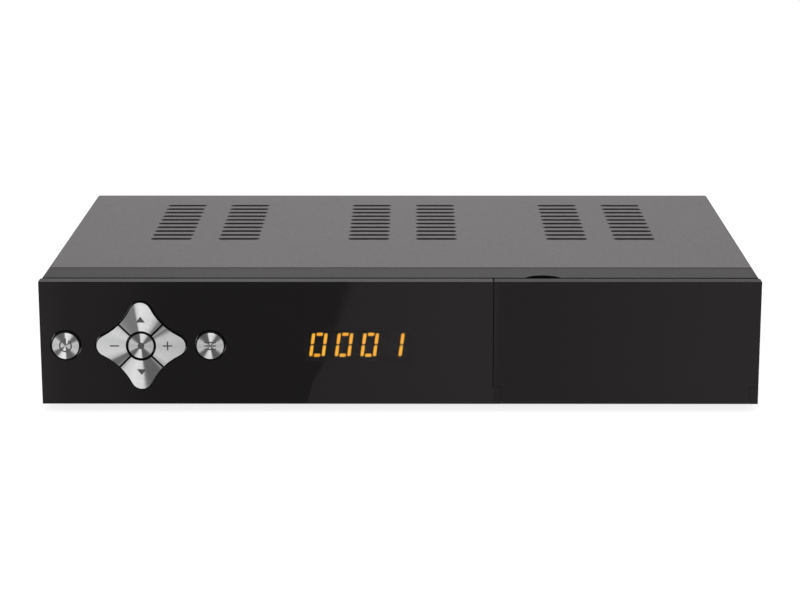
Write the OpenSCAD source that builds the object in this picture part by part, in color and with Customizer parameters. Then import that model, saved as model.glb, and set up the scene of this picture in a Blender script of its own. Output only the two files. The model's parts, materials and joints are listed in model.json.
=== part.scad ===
// Free-standing satellite television receiver.
// A folded steel tray and a folded steel cover hold a power board and a main board.
// The plastic front carries seven keys, a four-digit display and a drop-down door.
// X runs along the width, Z is up, and the front faces -Y.

/* [Cabinet] */
// Width across the front panel and the cover
body_w = 260; // [256:1:300]
// Height of the front panel, without the feet
body_h = 45.6; // [44:0.2:56]
// Depth from the front face to the back of the cover
body_d = 160; // [158:1:190]
// Thickness of the sheet steel
sheet_t = 0.8; // [0.6:0.1:1.0]
// Outside radius of the cover's folded edges
fold_r = 1.2; // [1.1:0.1:2.4]
// Height of the tray's side flanges
flange_h = 13; // [11:1:18]
// Height of the cover's flange over the rear wall
rear_flange_h = 8; // [7:0.5:10]
// Running clearance between neighbouring parts of the case
case_gap = 0.3; // [0.2:0.05:0.5]

/* [Feet] */
// Height of the rubber feet
foot_h = 3; // [2.2:0.1:6]
// Diameter of a rubber foot
foot_dia = 16; // [12:1:20]
// Distance of a foot's middle from the case's edges
foot_inset = 22; // [16:1:40]

/* [Front panel] */
// Depth of the front frame from the front face
frame_d = 23; // [21:0.5:30]
// Wall thickness of the front frame
plastic_t = 2; // [1.6:0.1:2.4]
// Depth of the fascia and of the door
layer_d = 5.4; // [5:0.1:6.4]
// Thickness of the fascia's and the door's front
plate_t = 2.2; // [1.8:0.1:2.4]
// Thickness of the fascia's and the door's edges
skirt_t = 1.8; // [1.4:0.1:2.2]
// Gap between the fascia and the frame behind it
shadow_gap = 0.9; // [0.6:0.1:1.4]
// How far the wall behind the door is set back
bay_set_back = 3; // [2:0.5:5]

/* [Door] */
// Width from the seam to the right edge
door_w = 96.3; // [92:0.1:104]
// Gap at the seam
seam_gap = 0.3; // [0.2:0.05:0.5]
// Distance of the hinge axis from the front face and from the lower edge
hinge_r = 2.4; // [2.2:0.1:2.6]
// Diameter of the hinge pins
hinge_pin_dia = 2; // [1.6:0.1:2.2]
// Radial clearance of the hinge pins
hinge_fit = 0.06; // [0.04:0.01:0.1]
// Radius of the hinge knuckles
knuckle_r = 4.3; // [3.9:0.1:4.5]
// Width of the hinge knuckles
knuckle_w = 3; // [2.6:0.1:4]
// Width of the finger notch
notch_w = 13; // [11:0.5:16]
// Depth of the finger notch
notch_d = 4; // [3.5:0.1:4.5]
// Distance from the seam to the middle of the finger notch
notch_from_seam = 18; // [14:0.5:30]

/* [Keys] */
// Height of the row of keys above the panel's lower edge
key_h = 22; // [20:0.1:24]
// Distance from the left edge to the power key
power_from_left = 9.2; // [8.8:0.1:12]
// Distance from the left edge to the middle of the key pad
pad_from_left = 36.5; // [35:0.1:39]
// Distance from the left edge to the menu key
menu_from_left = 61.5; // [61:0.1:68]
// Diameter of the two round keys
round_key_dia = 10.5; // [9:0.1:11]
// Diameter of the key in the middle of the pad
ok_key_dia = 9.9; // [9:0.1:10.4]
// Distance from the middle of the pad to a petal's tip
pad_reach = 16.2; // [15:0.1:17]
// Radius of a petal's tip
tip_r = 4; // [3.6:0.1:4.4]
// Distance from the middle of the pad to its outline between two petals
waist = 11.2; // [10.8:0.1:11.6]
// Distance from the middle of the pad to a petal's stem
petal_stem_from = 9; // [8:0.1:10]
// Gap between a key and the fascia
key_gap = 0.4; // [0.3:0.05:0.6]
// Gap between two petals
petal_gap = 0.4; // [0.3:0.05:0.6]
// How far the keys stand out of the fascia
key_proud = 1; // [0.6:0.1:1.5]
// How far a key can be pressed
key_travel = 0.4; // [0.2:0.05:0.5]

/* [Display] */
// Distance from the left edge to the middle of the display
display_from_left = 114.4; // [108:0.1:120]
// Height of a digit
digit_h = 9; // [8:0.1:10]
// How far the digits' middle lies below the keys' middle
display_drop = 0.5; // [0:0.1:1]
// Distance between the middles of a digit's upright strokes
digit_w = 4.5; // [4:0.1:5]
// Distance from digit to digit
digit_pitch = 9.3; // [8.6:0.1:9.6]
// Width of a stroke
stroke_w = 1.15; // [0.9:0.05:1.3]
// Lean of the digits in degrees
digit_lean = 8; // [0:1:10]

/* [Cover vents] */
// Number of slots in a column
vent_rows = 10; // [6:1:10]
// Distance from slot to slot
vent_pitch = 7.25; // [6:0.05:8]
// Length of a slot
vent_len = 16; // [12:0.1:20]
// Width of a slot
vent_wid = 3.3; // [2:0.1:3.6]
// Distance between the two columns of a pair
vent_pair_pitch = 26.3; // [24:0.1:32]
// Distance between two pairs
vent_group_pitch = 77; // [70:0.5:84]
// Shift of all slots to the right of the case's middle
vent_shift = 0.7; // [-2:0.1:2]
// Distance from the back of the cover to the first slot
vent_from_back = 22; // [14:0.5:26]

/* [Boards] */
// Thickness of the printed circuit boards
board_t = 1.6; // [1.2:0.1:2]
// Height of the spacers under the boards
spacer_h = 6; // [5:0.5:8]
// Height of a key switch's case
switch_h = 3.5; // [3.1:0.1:3.8]
// How far a switch's plunger stands out of its case
plunger_h = 1.5; // [1.2:0.1:2]
// Width of the power board
power_board_w = 62; // [60:1:72]
// Length of the power board
power_board_d = 98; // [96:1:104]
// Width of the main board
main_board_w = 156; // [146:1:172]

/* [Rear connectors] */
// Diameter of the aerial connectors' thread
f_thread_dia = 9.525; // [9.4:0.025:9.6]
// How far the aerial connectors stand out of the case
f_reach = 9.5; // [8:0.5:12]
// Distance between the aerial connectors
f_pitch = 20; // [18:0.5:22]
// Outer diameter of the audio jacks
rca_dia = 8.3; // [8:0.1:8.6]
// How far the audio jacks stand out of the case
rca_reach = 8; // [6:0.5:9]
// Distance from audio jack to audio jack
rca_pitch = 13; // [12.5:0.1:15]

/* [Hidden] */
$fn = 48;
overlap = 1;                                   // how far a cut runs past the face that it opens

// heights
z0 = foot_h;                                   // underside of the case
z1 = foot_h + body_h;                          // top of the case
floor_z = z0 + sheet_t;                        // upper face of the tray's floor
board_z = floor_z + spacer_h;                  // underside of the horizontal boards
board_top = board_z + board_t;
key_z = z0 + key_h;

// widths
half_w = body_w / 2;
slide_fit = 0.1;                               // clearance of sheet steel inside sheet steel
tray_half = half_w - sheet_t - slide_fit;
seam_x = half_w - door_w;
fascia_right = seam_x - seam_gap / 2;
door_left = seam_x + seam_gap / 2;

// depths behind the front face
wall_y = layer_d + shadow_gap;                 // front of the frame's wall
wall_back = wall_y + plastic_t;
bay_y = wall_y + bay_set_back;                 // front of the wall behind the door
bay_back = bay_y + plastic_t;
key_flange_y = plate_t + 0.05;
key_flange_t = 0.8;
switch_clear = 0.7;                            // from the frame's wall to the switches
switch_y = wall_back + switch_clear;
front_board_y = switch_y + switch_h;
front_board_back = front_board_y + board_t;
plunger_tip_y = switch_y - plunger_h;
cover_y = frame_d + case_gap;                  // front edge of the cover and of the tray
rear_out = body_d - sheet_t - slide_fit;       // outer face of the tray's rear wall
rear_in = rear_out - sheet_t;

// the case stands in the middle of its own length, with the connectors and the keys counted
y_front = -(body_d + f_reach - key_proud) / 2;

// screws
screw_r = 1.5;
screw_pilot_r = 1.55;                          // hole that the screw's thread is cut into
screw_clear_r = 1.8;
screw_head_r = 2.9;
screw_head_h = 1.7;
thread_run = 4.5;                              // length of a screw under its head

// keys
stem_r = 2.2;
stem_fit = 0.1;
plunger_r = 1.75;
switch_w = 6;
key_seat = 0.9;                                // how far a key's flange spreads
ok_flange_y = key_flange_y + key_flange_t + key_travel + 0.2;   // behind the petals' flanges
pad = [-half_w + pad_from_left, key_z];
power_at = [-half_w + power_from_left, key_z];
menu_at = [-half_w + menu_from_left, key_z];
// name, middle of the stem, direction of the petal in degrees or undef for a round key, diameter
KEYS = [
    ["power", power_at, undef, round_key_dia],
    ["menu", menu_at, undef, round_key_dia],
    ["ok", pad, undef, ok_key_dia],
    ["volume_up", pad + [petal_stem_from, 0], 0, 0],
    ["channel_up", pad + [0, petal_stem_from], 90, 0],
    ["volume_down", pad - [petal_stem_from, 0], 180, 0],
    ["channel_down", pad - [0, petal_stem_from], 270, 0],
];

// display
display_at = [-half_w + display_from_left, key_z - display_drop];
display_margin = 1.9;
display_w = 3 * digit_pitch + digit_w + stroke_w + 2 * display_margin + digit_h * tan(digit_lean);
display_h = digit_h + 2 * display_margin;
display_y = plate_t + 0.6;                     // face of the display
stroke_t = 0.1;
stroke_gap = 0.55;
SEGMENTS = ["a", "b", "c", "d", "e", "f", "g"];
// strokes that are lit in each place, for a reading of 0001
LIT = ["abcdef", "abcdef", "abcdef", "bc"];
remote_eye_at = [menu_at[0] + 17, key_z];

// boards
board_edge = thread_run + 0.4;                 // between a board and the case's side, past the screws
power_x0 = -half_w + board_edge;
power_x1 = power_x0 + power_board_w;
power_y1 = rear_in - 0.5;
power_y0 = power_y1 - power_board_d;
main_x1 = half_w - board_edge;
main_x0 = main_x1 - main_board_w;
main_y1 = rear_in - 0.5;
main_y0 = front_board_back + 28;               // front edge of the main board behind the front board
main_tongue_y = bay_back + 1.5;                // front edge of its part behind the door
front_board_x0 = -half_w + plastic_t + 0.6;
front_board_x1 = seam_x - 2;
tongue_x0 = seam_x + plastic_t + 2;
hole_in = 5;                                   // from a board's edges to its screws
POWER_SPACERS = [
    for (x = [power_x0 + hole_in, power_x1 - hole_in], y = [power_y0 + hole_in, power_y1 - 20]) [x, y]
];
MAIN_SPACERS = [
    [main_x0 + hole_in, main_y0 + hole_in],
    [main_x0 + hole_in, main_y1 - 16],
    [main_x1 - hole_in, main_y1 - 62],
    [main_x1 - hole_in, main_tongue_y + 30],
    [tongue_x0 + hole_in + 4, main_y1 - 62],
];

// front frame
frame_pilot_r = 1.2;
frame_screw_r = 1.1;
frame_boss_r = 2.8;
boss_edge = 6.5;                               // from the panel's edges to the bosses
BOSSES = [
    for (x = [-half_w + 8.5, menu_at[0] + 14, fascia_right - 9.5], z = [z0 + boss_edge, z1 - boss_edge])
        [x, z]
];
lip_t = 1.6;
lip_run = 6;
tongue_from_side = 46;
tongue_w = 14;
tongue_run = 12;
floor_vent_from_side = 60;
TONGUES = [tongue_from_side - half_w, 0, half_w - tongue_from_side];
stake_r = 1.2;
stake_fit = 0.1;
stake_post_r = 2.2;
// pins on the fascia's back that hold it in the frame's wall
STAKES = [
    [-half_w + 20, z0 + 5], [-half_w + 20, z1 - 5],
    [menu_at[0] + 26, z0 + 5], [menu_at[0] + 26, z1 - 5],
    [fascia_right - 4.5, z0 + 12], [fascia_right - 4.5, z1 - 12],
];

// door
hinge_at = [hinge_r, z0 + hinge_r];            // y and z of the hinge axis
knuckle_gap = 0.3;
notch_r = (notch_w * notch_w / 4 + notch_d * notch_d) / (2 * notch_d);
notch_at = [seam_x + notch_from_seam, wall_y + notch_d - notch_r];
notch_deep = 5;
catch_at = [half_w - 12, z1 - 10];
magnet_r = 3;
magnet_t = 3;
strike_t = 0.8;
catch_gap = 0.4;
magnet_y = plate_t + strike_t + catch_gap;

// card reader and socket behind the door
reader_w = 60;
reader_x = tongue_x0 + 4 + reader_w / 2;
reader_d = 58;
reader_h = 6.5;
card_w = 54.4;
card_t = 1.2;
usb_w = 13.2;
usb_h = 5.8;
usb_d = 14;
usb_x = reader_x + reader_w / 2 + 12;
bay_port_y = bay_y + 0.3;                      // front of the two ports in the bay's wall
port_fit = 0.4;

// rear connectors, by the middle of each in X
f_z = board_top + 8.5;
port_gap = 3.5;                                // between neighbouring connectors
tuner_edge = 9;                                // from an aerial connector's middle to the can's side
f_out_x = main_x1 - 3 - tuner_edge;
f_in_x = f_out_x - f_pitch;
F_AT = [f_in_x, f_out_x];
tuner_d = 46;
tuner_h = 15;
f_shank_dia = f_thread_dia + 0.4;              // thicker where the nut holds it in the wall
nut_af = 14;
nut_t = 2;
hdmi_w = 15;
hdmi_x = f_in_x - tuner_edge - port_gap - hdmi_w / 2;
hdmi_h = 5.8;
hdmi_d = 12;
scart_w = 50;
scart_h = 15.5;
scart_d = 18;
scart_x = hdmi_x - hdmi_w / 2 - port_gap - scart_w / 2;
scart_z = board_top + 4;
rca_z = board_top + 7;
rca_block_d = 10;
rca_count = 3;
rca_block_w = rca_pitch * rca_count - 1;
rca_mid_x = scart_x - scart_w / 2 - port_gap - rca_block_w / 2;
RCA_AT = [for (i = [0:rca_count - 1]) rca_mid_x + (i - (rca_count - 1) / 2) * rca_pitch];
inlet_w = 20;
inlet_h = 13;
inlet_d = 19;
inlet_x = power_x0 + 22;
inlet_z = board_top + inlet_h / 2;
inlet_proud = 1.5;
inlet_pin_pitch = 8.6;
inlet_pin_r = 1.2;
rear_screw_x = half_w - 42;
side_screw_y = 44;                             // from the cover's edges to the side screws
side_screw_z = z0 + flange_h / 2;

key_nodes = [for (k = KEYS) str(k[0], "_button")];
plunger_nodes = [for (k = KEYS) str(k[0], "_plunger")];

// ---------------------------------------------------------------- helpers

// from the front face's frame into the part's own frame
module placed() { translate([0, y_front, 0]) children(); }

// a flat outline in X and Z, from depth y_a to depth y_b
module slab(y_a, y_b) { translate([0, y_b, 0]) rotate([90, 0, 0]) linear_extrude(y_b - y_a) children(); }

// a flat outline in X and Y, from height z_a to height z_b
module layer(z_a, z_b) { translate([0, 0, z_a]) linear_extrude(z_b - z_a) children(); }

// a flat outline in Y and Z, from x_a to x_b
module across(x_a, x_b) { translate([x_a, 0, 0]) rotate([90, 0, 90]) linear_extrude(x_b - x_a) children(); }

module rect(a, b) { translate(a) square(b - a); }

module box(a, b) { translate(a) cube(b - a); }

// a slot with round ends, its length along X
module stadium(len, wid) {
    square([len - wid, wid], center = true);
    for (s = [-1, 1]) translate([s * (len - wid) / 2, 0]) circle(d = wid);
}

// a pan-head screw along +Z, its head under z = 0 and its shank above
module screw_up(run, r, head_r, head_h) {
    difference() {
        union() {
            cylinder(r = r, h = run);
            translate([0, 0, -head_h]) cylinder(r1 = head_r * 0.82, r2 = head_r, h = head_h * 0.45);
            translate([0, 0, -head_h * 0.55]) cylinder(r = head_r, h = head_h * 0.55);
        }
        for (a = [0, 90])
            rotate([0, 0, a])
                translate([-head_r * 0.55, -head_r * 0.13, -head_h - overlap])
                    cube([head_r * 1.1, head_r * 0.26, overlap + head_h * 0.6]);
    }
}

module case_screw() { screw_up(thread_run, screw_r, screw_head_r, screw_head_h); }

// an upright round can on a board
module can(at, r, h) { translate([at[0], at[1], board_top]) cylinder(r = r, h = h); }

// a rectangular part on a board, by its middle and size
module chip(at, size) {
    translate([at[0] - size[0] / 2, at[1] - size[1] / 2, board_top]) cube(size);
}

// ---------------------------------------------------------------- steel case

module tray_vents() {
    for (s = [-1, 1], i = [0:7])
        translate([s * (half_w - floor_vent_from_side), body_d / 2 - 26 + i * 8]) stadium(30, 3);
}

module rear_cut_outs() {
    for (x = F_AT) translate([x, f_z]) circle(d = f_shank_dia + 0.2);
    rect([hdmi_x - hdmi_w / 2 - port_fit, board_top - port_fit],
         [hdmi_x + hdmi_w / 2 + port_fit, board_top + hdmi_h + port_fit]);
    rect([scart_x - scart_w / 2 - port_fit, scart_z - port_fit],
         [scart_x + scart_w / 2 + port_fit, scart_z + scart_h + port_fit]);
    for (x = RCA_AT) translate([x, rca_z]) circle(d = rca_dia + 1.6);
    rect([inlet_x - inlet_w / 2 - port_fit, inlet_z - inlet_h / 2 - port_fit],
         [inlet_x + inlet_w / 2 + port_fit, inlet_z + inlet_h / 2 + port_fit]);
    for (x = [-rear_screw_x, 0, rear_screw_x])
        translate([x, z1 - rear_flange_h / 2]) circle(r = screw_pilot_r);
}

module side_screw_holes(r) {
    for (s = [-1, 1], y = [cover_y + side_screw_y, body_d - side_screw_y])
        translate([s * half_w, y, side_screw_z])
            rotate([0, -s * 90, 0])
                translate([0, 0, -overlap]) cylinder(r = r, h = sheet_t * 2 + slide_fit + 2 * overlap);
}

// the rear wall stays clear of the cover's folds
module rear_wall() {
    top = z1 - sheet_t - slide_fit;
    polygon([
        [-tray_half, z0], [tray_half, z0], [tray_half, top - fold_r],
        [tray_half - fold_r, top], [fold_r - tray_half, top], [-tray_half, top - fold_r],
    ]);
}

module base_tray() {
    color("#8f9193") placed() difference() {
        union() {
            layer(z0, floor_z) rect([-tray_half, cover_y], [tray_half, rear_out]);
            for (s = [0, 1])
                mirror([s, 0, 0])
                    layer(z0, z0 + flange_h)
                        rect([tray_half - sheet_t, cover_y + lip_run + 2], [tray_half, rear_out]);
            slab(rear_in, rear_out) rear_wall();
        }
        layer(z0 - overlap, floor_z + overlap) tray_vents();
        layer(z0 - overlap, floor_z + overlap)
            for (x = TONGUES) translate([x, cover_y + tongue_run / 2]) circle(r = screw_clear_r);
        slab(rear_in - overlap, rear_out + overlap) rear_cut_outs();
        side_screw_holes(screw_pilot_r);
    }
}

// the cover's section across the width: two sides, two folds and the top
module cover_section() {
    rect([-half_w + fold_r, z1 - sheet_t], [half_w - fold_r, z1]);
    for (s = [0, 1]) mirror([s, 0]) {
        rect([half_w - sheet_t, z0], [half_w, z1 - fold_r]);
        translate([half_w - fold_r, z1 - fold_r]) intersection() {
            difference() {
                circle(r = fold_r);
                circle(r = fold_r - sheet_t);
            }
            square(fold_r + overlap);
        }
    }
}

module cover_vents() {
    for (g = [-1, 0, 1], s = [-1, 1], i = [0:vent_rows - 1])
        translate([vent_shift + g * vent_group_pitch + s * vent_pair_pitch / 2,
                   body_d - vent_from_back - i * vent_pitch])
            stadium(vent_len, vent_wid);
}

module top_cover() {
    color("#4c4b4c") placed() difference() {
        union() {
            slab(cover_y, body_d) cover_section();
            slab(body_d - sheet_t, body_d)
                rect([-half_w + fold_r, z1 - rear_flange_h], [half_w - fold_r, z1 - sheet_t / 2]);
        }
        layer(z1 - sheet_t - overlap, z1 + overlap) cover_vents();
        side_screw_holes(screw_clear_r);
        slab(body_d - sheet_t - overlap, body_d + overlap)
            for (x = [-rear_screw_x, 0, rear_screw_x])
                translate([x, z1 - rear_flange_h / 2]) circle(r = screw_clear_r);
    }
}

module cover_screws() {
    color("#2a2a2b") placed() {
        for (s = [-1, 1], y = [cover_y + side_screw_y, body_d - side_screw_y])
            translate([s * half_w, y, side_screw_z]) rotate([0, -s * 90, 0]) case_screw();
        for (x = [-rear_screw_x, 0, rear_screw_x])
            translate([x, body_d, z1 - rear_flange_h / 2]) rotate([90, 0, 0]) case_screw();
    }
}

module feet() {
    color("#151515") placed()
        for (x = [-half_w + foot_inset, half_w - foot_inset], y = [cover_y + foot_inset, body_d - foot_inset])
            translate([x, y, 0]) {
                cylinder(r1 = foot_dia / 2 - 0.8, r2 = foot_dia / 2, h = 0.8);
                translate([0, 0, 0.8]) cylinder(d = foot_dia, h = foot_h - 0.8);
            }
}

// ---------------------------------------------------------------- front frame, fascia and door

// a hinge knuckle's section in Y and Z, with a foot that reaches back to y_back
module knuckle_section(y_back) {
    intersection() {
        translate(hinge_at) circle(r = knuckle_r);
        rect([0, z0], [min(hinge_r + knuckle_r, y_back), hinge_at[1] + knuckle_r]);
    }
    rect([hinge_r, z0], [y_back, z0 + 2 * hinge_r]);
}

module hinge_bore(x_a, x_b) {
    across(x_a, x_b) translate(hinge_at) circle(d = hinge_pin_dia + 2 * hinge_fit);
}

module frame_shell() {
    slab(wall_y, frame_d) difference() {
        rect([-half_w, z0], [half_w, z1]);
        rect([-half_w + plastic_t, z0 + plastic_t], [half_w - plastic_t, z1 - plastic_t]);
    }
    slab(wall_y, wall_back) rect([-half_w, z0], [seam_x + plastic_t, z1]);
    slab(wall_y, bay_back) rect([seam_x, z0], [seam_x + plastic_t, z1]);
    slab(bay_y, bay_back) rect([seam_x, z0], [half_w, z1]);
}

// tabs that slip under the cover and inside its sides
module frame_lips() {
    lip_top = z1 - sheet_t - slide_fit;
    lip_side = half_w - sheet_t - slide_fit;
    box([-half_w + 8, frame_d - 3, lip_top - lip_t], [half_w - 8, frame_d + lip_run, lip_top]);
    for (s = [0, 1])
        mirror([s, 0, 0])
            box([lip_side - lip_t, frame_d - 3, z0 + flange_h + 2], [lip_side, frame_d + lip_run, z1 - 8]);
}

module frame_tongues() {
    for (x = TONGUES)
        box([x - tongue_w / 2, frame_d - 5, floor_z],
            [x + tongue_w / 2, cover_y + tongue_run, floor_z + plastic_t]);
}

module notch_cup() {
    intersection() {
        translate([notch_at[0], notch_at[1], z1 - notch_deep - plastic_t])
            cylinder(r = notch_r + plastic_t, h = notch_deep + plastic_t);
        box([-half_w, wall_y, z0], [half_w, frame_d, z1]);
    }
}

module frame_holes() {
    slab(wall_y - overlap, wall_back + overlap) {
        for (k = KEYS) translate(k[1]) circle(r = stem_r + stem_fit);
        for (p = STAKES) translate(p) circle(r = stake_r + stake_fit);
        rect(display_at - [display_w / 2 + 0.4, display_h / 2 + 0.4],
             display_at + [display_w / 2 + 0.4, display_h / 2 + 0.4]);
        translate(remote_eye_at) circle(r = 5.4);
    }
    slab(wall_y + plastic_t / 2, front_board_y + overlap)
        for (p = BOSSES) translate(p) circle(r = frame_pilot_r);
    slab(bay_y - overlap, bay_back + overlap) {
        rect([reader_x - reader_w / 2 - port_fit, board_top - port_fit],
             [reader_x + reader_w / 2 + port_fit, board_top + reader_h + port_fit]);
        rect([usb_x - usb_w / 2 - port_fit, board_top - port_fit],
             [usb_x + usb_w / 2 + port_fit, board_top + usb_h + port_fit]);
    }
    translate([notch_at[0], notch_at[1], z1 - notch_deep]) cylinder(r = notch_r, h = notch_deep + overlap);
    layer(z0 - overlap, floor_z + plastic_t + overlap)
        for (x = TONGUES) translate([x, cover_y + tongue_run / 2]) circle(r = screw_pilot_r);
    slab(magnet_y - overlap, magnet_y + magnet_t) translate(catch_at) circle(r = magnet_r + slide_fit);
    hinge_bore(half_w - knuckle_w - overlap, half_w - 0.8);
}

module front_frame() {
    color("#1d1c1d") placed() difference() {
        union() {
            frame_shell();
            frame_lips();
            frame_tongues();
            notch_cup();
            slab(wall_y, front_board_y) for (p = BOSSES) translate(p) circle(r = frame_boss_r);
            slab(magnet_y, bay_back) translate(catch_at) circle(r = magnet_r + 1.4);
            across(half_w - knuckle_w, half_w) knuckle_section(wall_back);
        }
        frame_holes();
    }
}

module frame_screws() {
    color("#9a9a98") placed()
        for (x = TONGUES)
            translate([x, cover_y + tongue_run / 2, z0])
                screw_up(sheet_t + plastic_t, screw_r, screw_head_r, screw_head_h);
}

// the pad's outline from tips, whose centres lie at tip_mid, and hollow waists between them
tip_mid = pad_reach - tip_r;
waist_r = (tip_r * tip_r - tip_mid * tip_mid - waist * waist + sqrt(2) * tip_mid * waist)
    / (2 * waist - sqrt(2) * tip_mid - 2 * tip_r);
waist_mid = (waist_r + waist) / sqrt(2);
tip_angle = atan2(waist_mid, waist_mid - tip_mid);

function arc(mid, r, a0, a1, n) =
    [for (i = [0:n]) let (a = a0 + (a1 - a0) * i / n) mid + r * [cos(a), sin(a)]];

// grow moves the whole outline outwards
function pad_outline(grow) = [
    for (q = [0:3])
        let (
            tip = arc([tip_mid, 0], tip_r + grow, -tip_angle, tip_angle, 12),
            dip = arc([waist_mid, waist_mid], waist_r - grow, 180 + tip_angle, 270 - tip_angle, 6)
        )
        for (p = concat(tip, [for (i = [1:5]) dip[i]]))
            [p[0] * cos(90 * q) - p[1] * sin(90 * q), p[0] * sin(90 * q) + p[1] * cos(90 * q)]
];

module petal_outline(turn, grow) {
    inset = petal_gap / sqrt(2);
    reach = 2 * pad_reach;
    rotate(turn) difference() {
        intersection() {
            polygon(pad_outline(grow));
            polygon([[inset, 0], [reach, reach - inset], [reach, inset - reach]]);
        }
        circle(d = ok_key_dia + 2 * key_gap);
    }
}

module fascia() {
    color("#0b0b0c") placed() difference() {
        union() {
            slab(0, layer_d) rect([-half_w, z0], [fascia_right, z1]);
            across(fascia_right - skirt_t, seam_x + knuckle_w) knuckle_section(layer_d);
            slab(plate_t - overlap / 2, wall_y) for (p = STAKES) translate(p) circle(r = stake_post_r);
            slab(plate_t, wall_back) for (p = STAKES) translate(p) circle(r = stake_r);
        }
        difference() {
            slab(plate_t, layer_d + overlap)
                rect([-half_w + skirt_t, z0 + skirt_t], [fascia_right - skirt_t, z1 - skirt_t]);
            slab(0, wall_back + overlap) for (p = STAKES) translate(p) circle(r = stake_post_r);
        }
        slab(-overlap, plate_t + overlap) {
            for (k = [KEYS[0], KEYS[1]]) translate(k[1]) circle(d = k[3] + 2 * key_gap);
            translate(pad) polygon(pad_outline(key_gap));
        }
        difference() {
            slab(wall_y, wall_back + overlap) for (p = STAKES) translate(p) circle(r = stake_post_r);
            slab(wall_y - overlap, wall_back + 2 * overlap) for (p = STAKES) translate(p) circle(r = stake_r);
        }
        hinge_bore(seam_x + 0.4, seam_x + knuckle_w + overlap);
    }
}

module door() {
    roll_x0 = seam_x + knuckle_w + knuckle_gap;
    roll_x1 = half_w - knuckle_w - knuckle_gap;
    pin_run = knuckle_w - 0.8;
    color("#0c0c0d") placed() {
        difference() {
            union() {
                slab(0, plate_t) rect([door_left, hinge_at[1]], [half_w, z1]);
                slab(0, layer_d) difference() {
                    rect([door_left, hinge_at[1]], [half_w, z1]);
                    rect([door_left + skirt_t, hinge_at[1] - overlap], [half_w - skirt_t, z1 - skirt_t]);
                }
            }
            for (x = [[door_left - overlap, roll_x0], [roll_x1, half_w + overlap]])
                across(x[0], x[1]) {
                    translate(hinge_at) circle(r = knuckle_r + knuckle_gap);
                    rect([-overlap, z0], [layer_d + overlap, hinge_at[1] + 0.5]);
                    rect([hinge_at[0], z0], [layer_d + overlap, hinge_at[1] + knuckle_r]);
                }
        }
        across(roll_x0, roll_x1) {
            translate(hinge_at) circle(r = hinge_r);
            rect([0, z0], hinge_at);
        }
        for (x = [[roll_x0 - knuckle_gap - pin_run, roll_x0], [roll_x1, roll_x1 + knuckle_gap + pin_run]])
            across(x[0], x[1]) translate(hinge_at) circle(d = hinge_pin_dia);
    }
}

module catch_magnet() {
    color("#6f7072") placed()
        slab(magnet_y, magnet_y + magnet_t) translate(catch_at) circle(r = magnet_r);
}

module catch_strike() {
    color("#a8a8a8") placed()
        slab(plate_t, plate_t + strike_t) translate(catch_at) square([9, 7], center = true);
}

// ---------------------------------------------------------------- keys

// a round key, its flange's front at depth flange_y
module round_key(at, dia, flange_y) {
    r = dia / 2;
    edge = 0.4;
    flange = r + key_seat;
    flange_back = flange_y + key_flange_t;
    translate([at[0], 0, at[1]]) rotate([-90, 0, 0]) rotate_extrude()
        polygon([
            [0, -key_proud], [r - edge, -key_proud], [r, edge - key_proud],
            [r, flange_y], [flange, flange_y], [flange, flange_back],
            [stem_r, flange_back], [stem_r, plunger_tip_y], [0, plunger_tip_y],
        ]);
}

module petal_key(stem_at, turn) {
    translate([pad[0], 0, pad[1]]) {
        slab(-key_proud, key_flange_y) petal_outline(turn, 0);
        slab(key_flange_y, key_flange_y + key_flange_t) petal_outline(turn, key_seat);
    }
    slab(key_flange_y, plunger_tip_y) translate(stem_at) circle(r = stem_r);
}

module key_button(k) {
    color("#c9c9cb") placed() {
        if (is_undef(k[2])) round_key(k[1], k[3], k[0] == "ok" ? ok_flange_y : key_flange_y);
        else petal_key(k[1], k[2]);
    }
}

module key_plunger(k) {
    color("#2b2b2b") placed()
        slab(plunger_tip_y, switch_y + 0.6) translate(k[1]) circle(r = plunger_r);
}

module key_switches() {
    color("#3a3a3c") placed() difference() {
        slab(switch_y, front_board_y) for (k = KEYS) translate(k[1]) square(switch_w, center = true);
        slab(switch_y - overlap, switch_y + 0.8 + key_travel)
            for (k = KEYS) translate(k[1]) circle(r = plunger_r + 0.15);
    }
}

// ---------------------------------------------------------------- front board and display

module front_board() {
    color("#2f6b3c") placed() difference() {
        slab(front_board_y, front_board_back)
            rect([front_board_x0, z0 + plastic_t + 1], [front_board_x1, z1 - plastic_t - 1]);
        slab(front_board_y - overlap, front_board_back + overlap)
            for (p = BOSSES) translate(p) circle(r = frame_screw_r + 0.3);
    }
}

module front_board_screws() {
    color("#9a9a98") placed()
        for (p = BOSSES)
            translate([p[0], front_board_back, p[1]]) rotate([90, 0, 0])
                screw_up(board_t + 3.2, frame_screw_r, 2.3, 1.4);
}

module display_module() {
    color("#1a1a1c") placed()
        slab(display_y, front_board_y)
            rect(display_at - [display_w, display_h] / 2, display_at + [display_w, display_h] / 2);
}

// a stroke of a leaning digit as a bar between two points, with its length along X or Z
function lean(p) = [p[0] + p[1] * tan(digit_lean), p[1]];
function bar(mid, half_len, upright) = let (
        h = upright ? [stroke_w / 2, half_len] : [half_len, stroke_w / 2],
        cut = stroke_w * 0.22
    )
    [for (p = [[-h[0] + cut, -h[1]], [h[0] - cut, -h[1]], [h[0], -h[1] + cut], [h[0], h[1] - cut],
               [h[0] - cut, h[1]], [-h[0] + cut, h[1]], [-h[0], h[1] - cut], [-h[0], -h[1] + cut]])
        lean(mid + p)];

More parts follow.
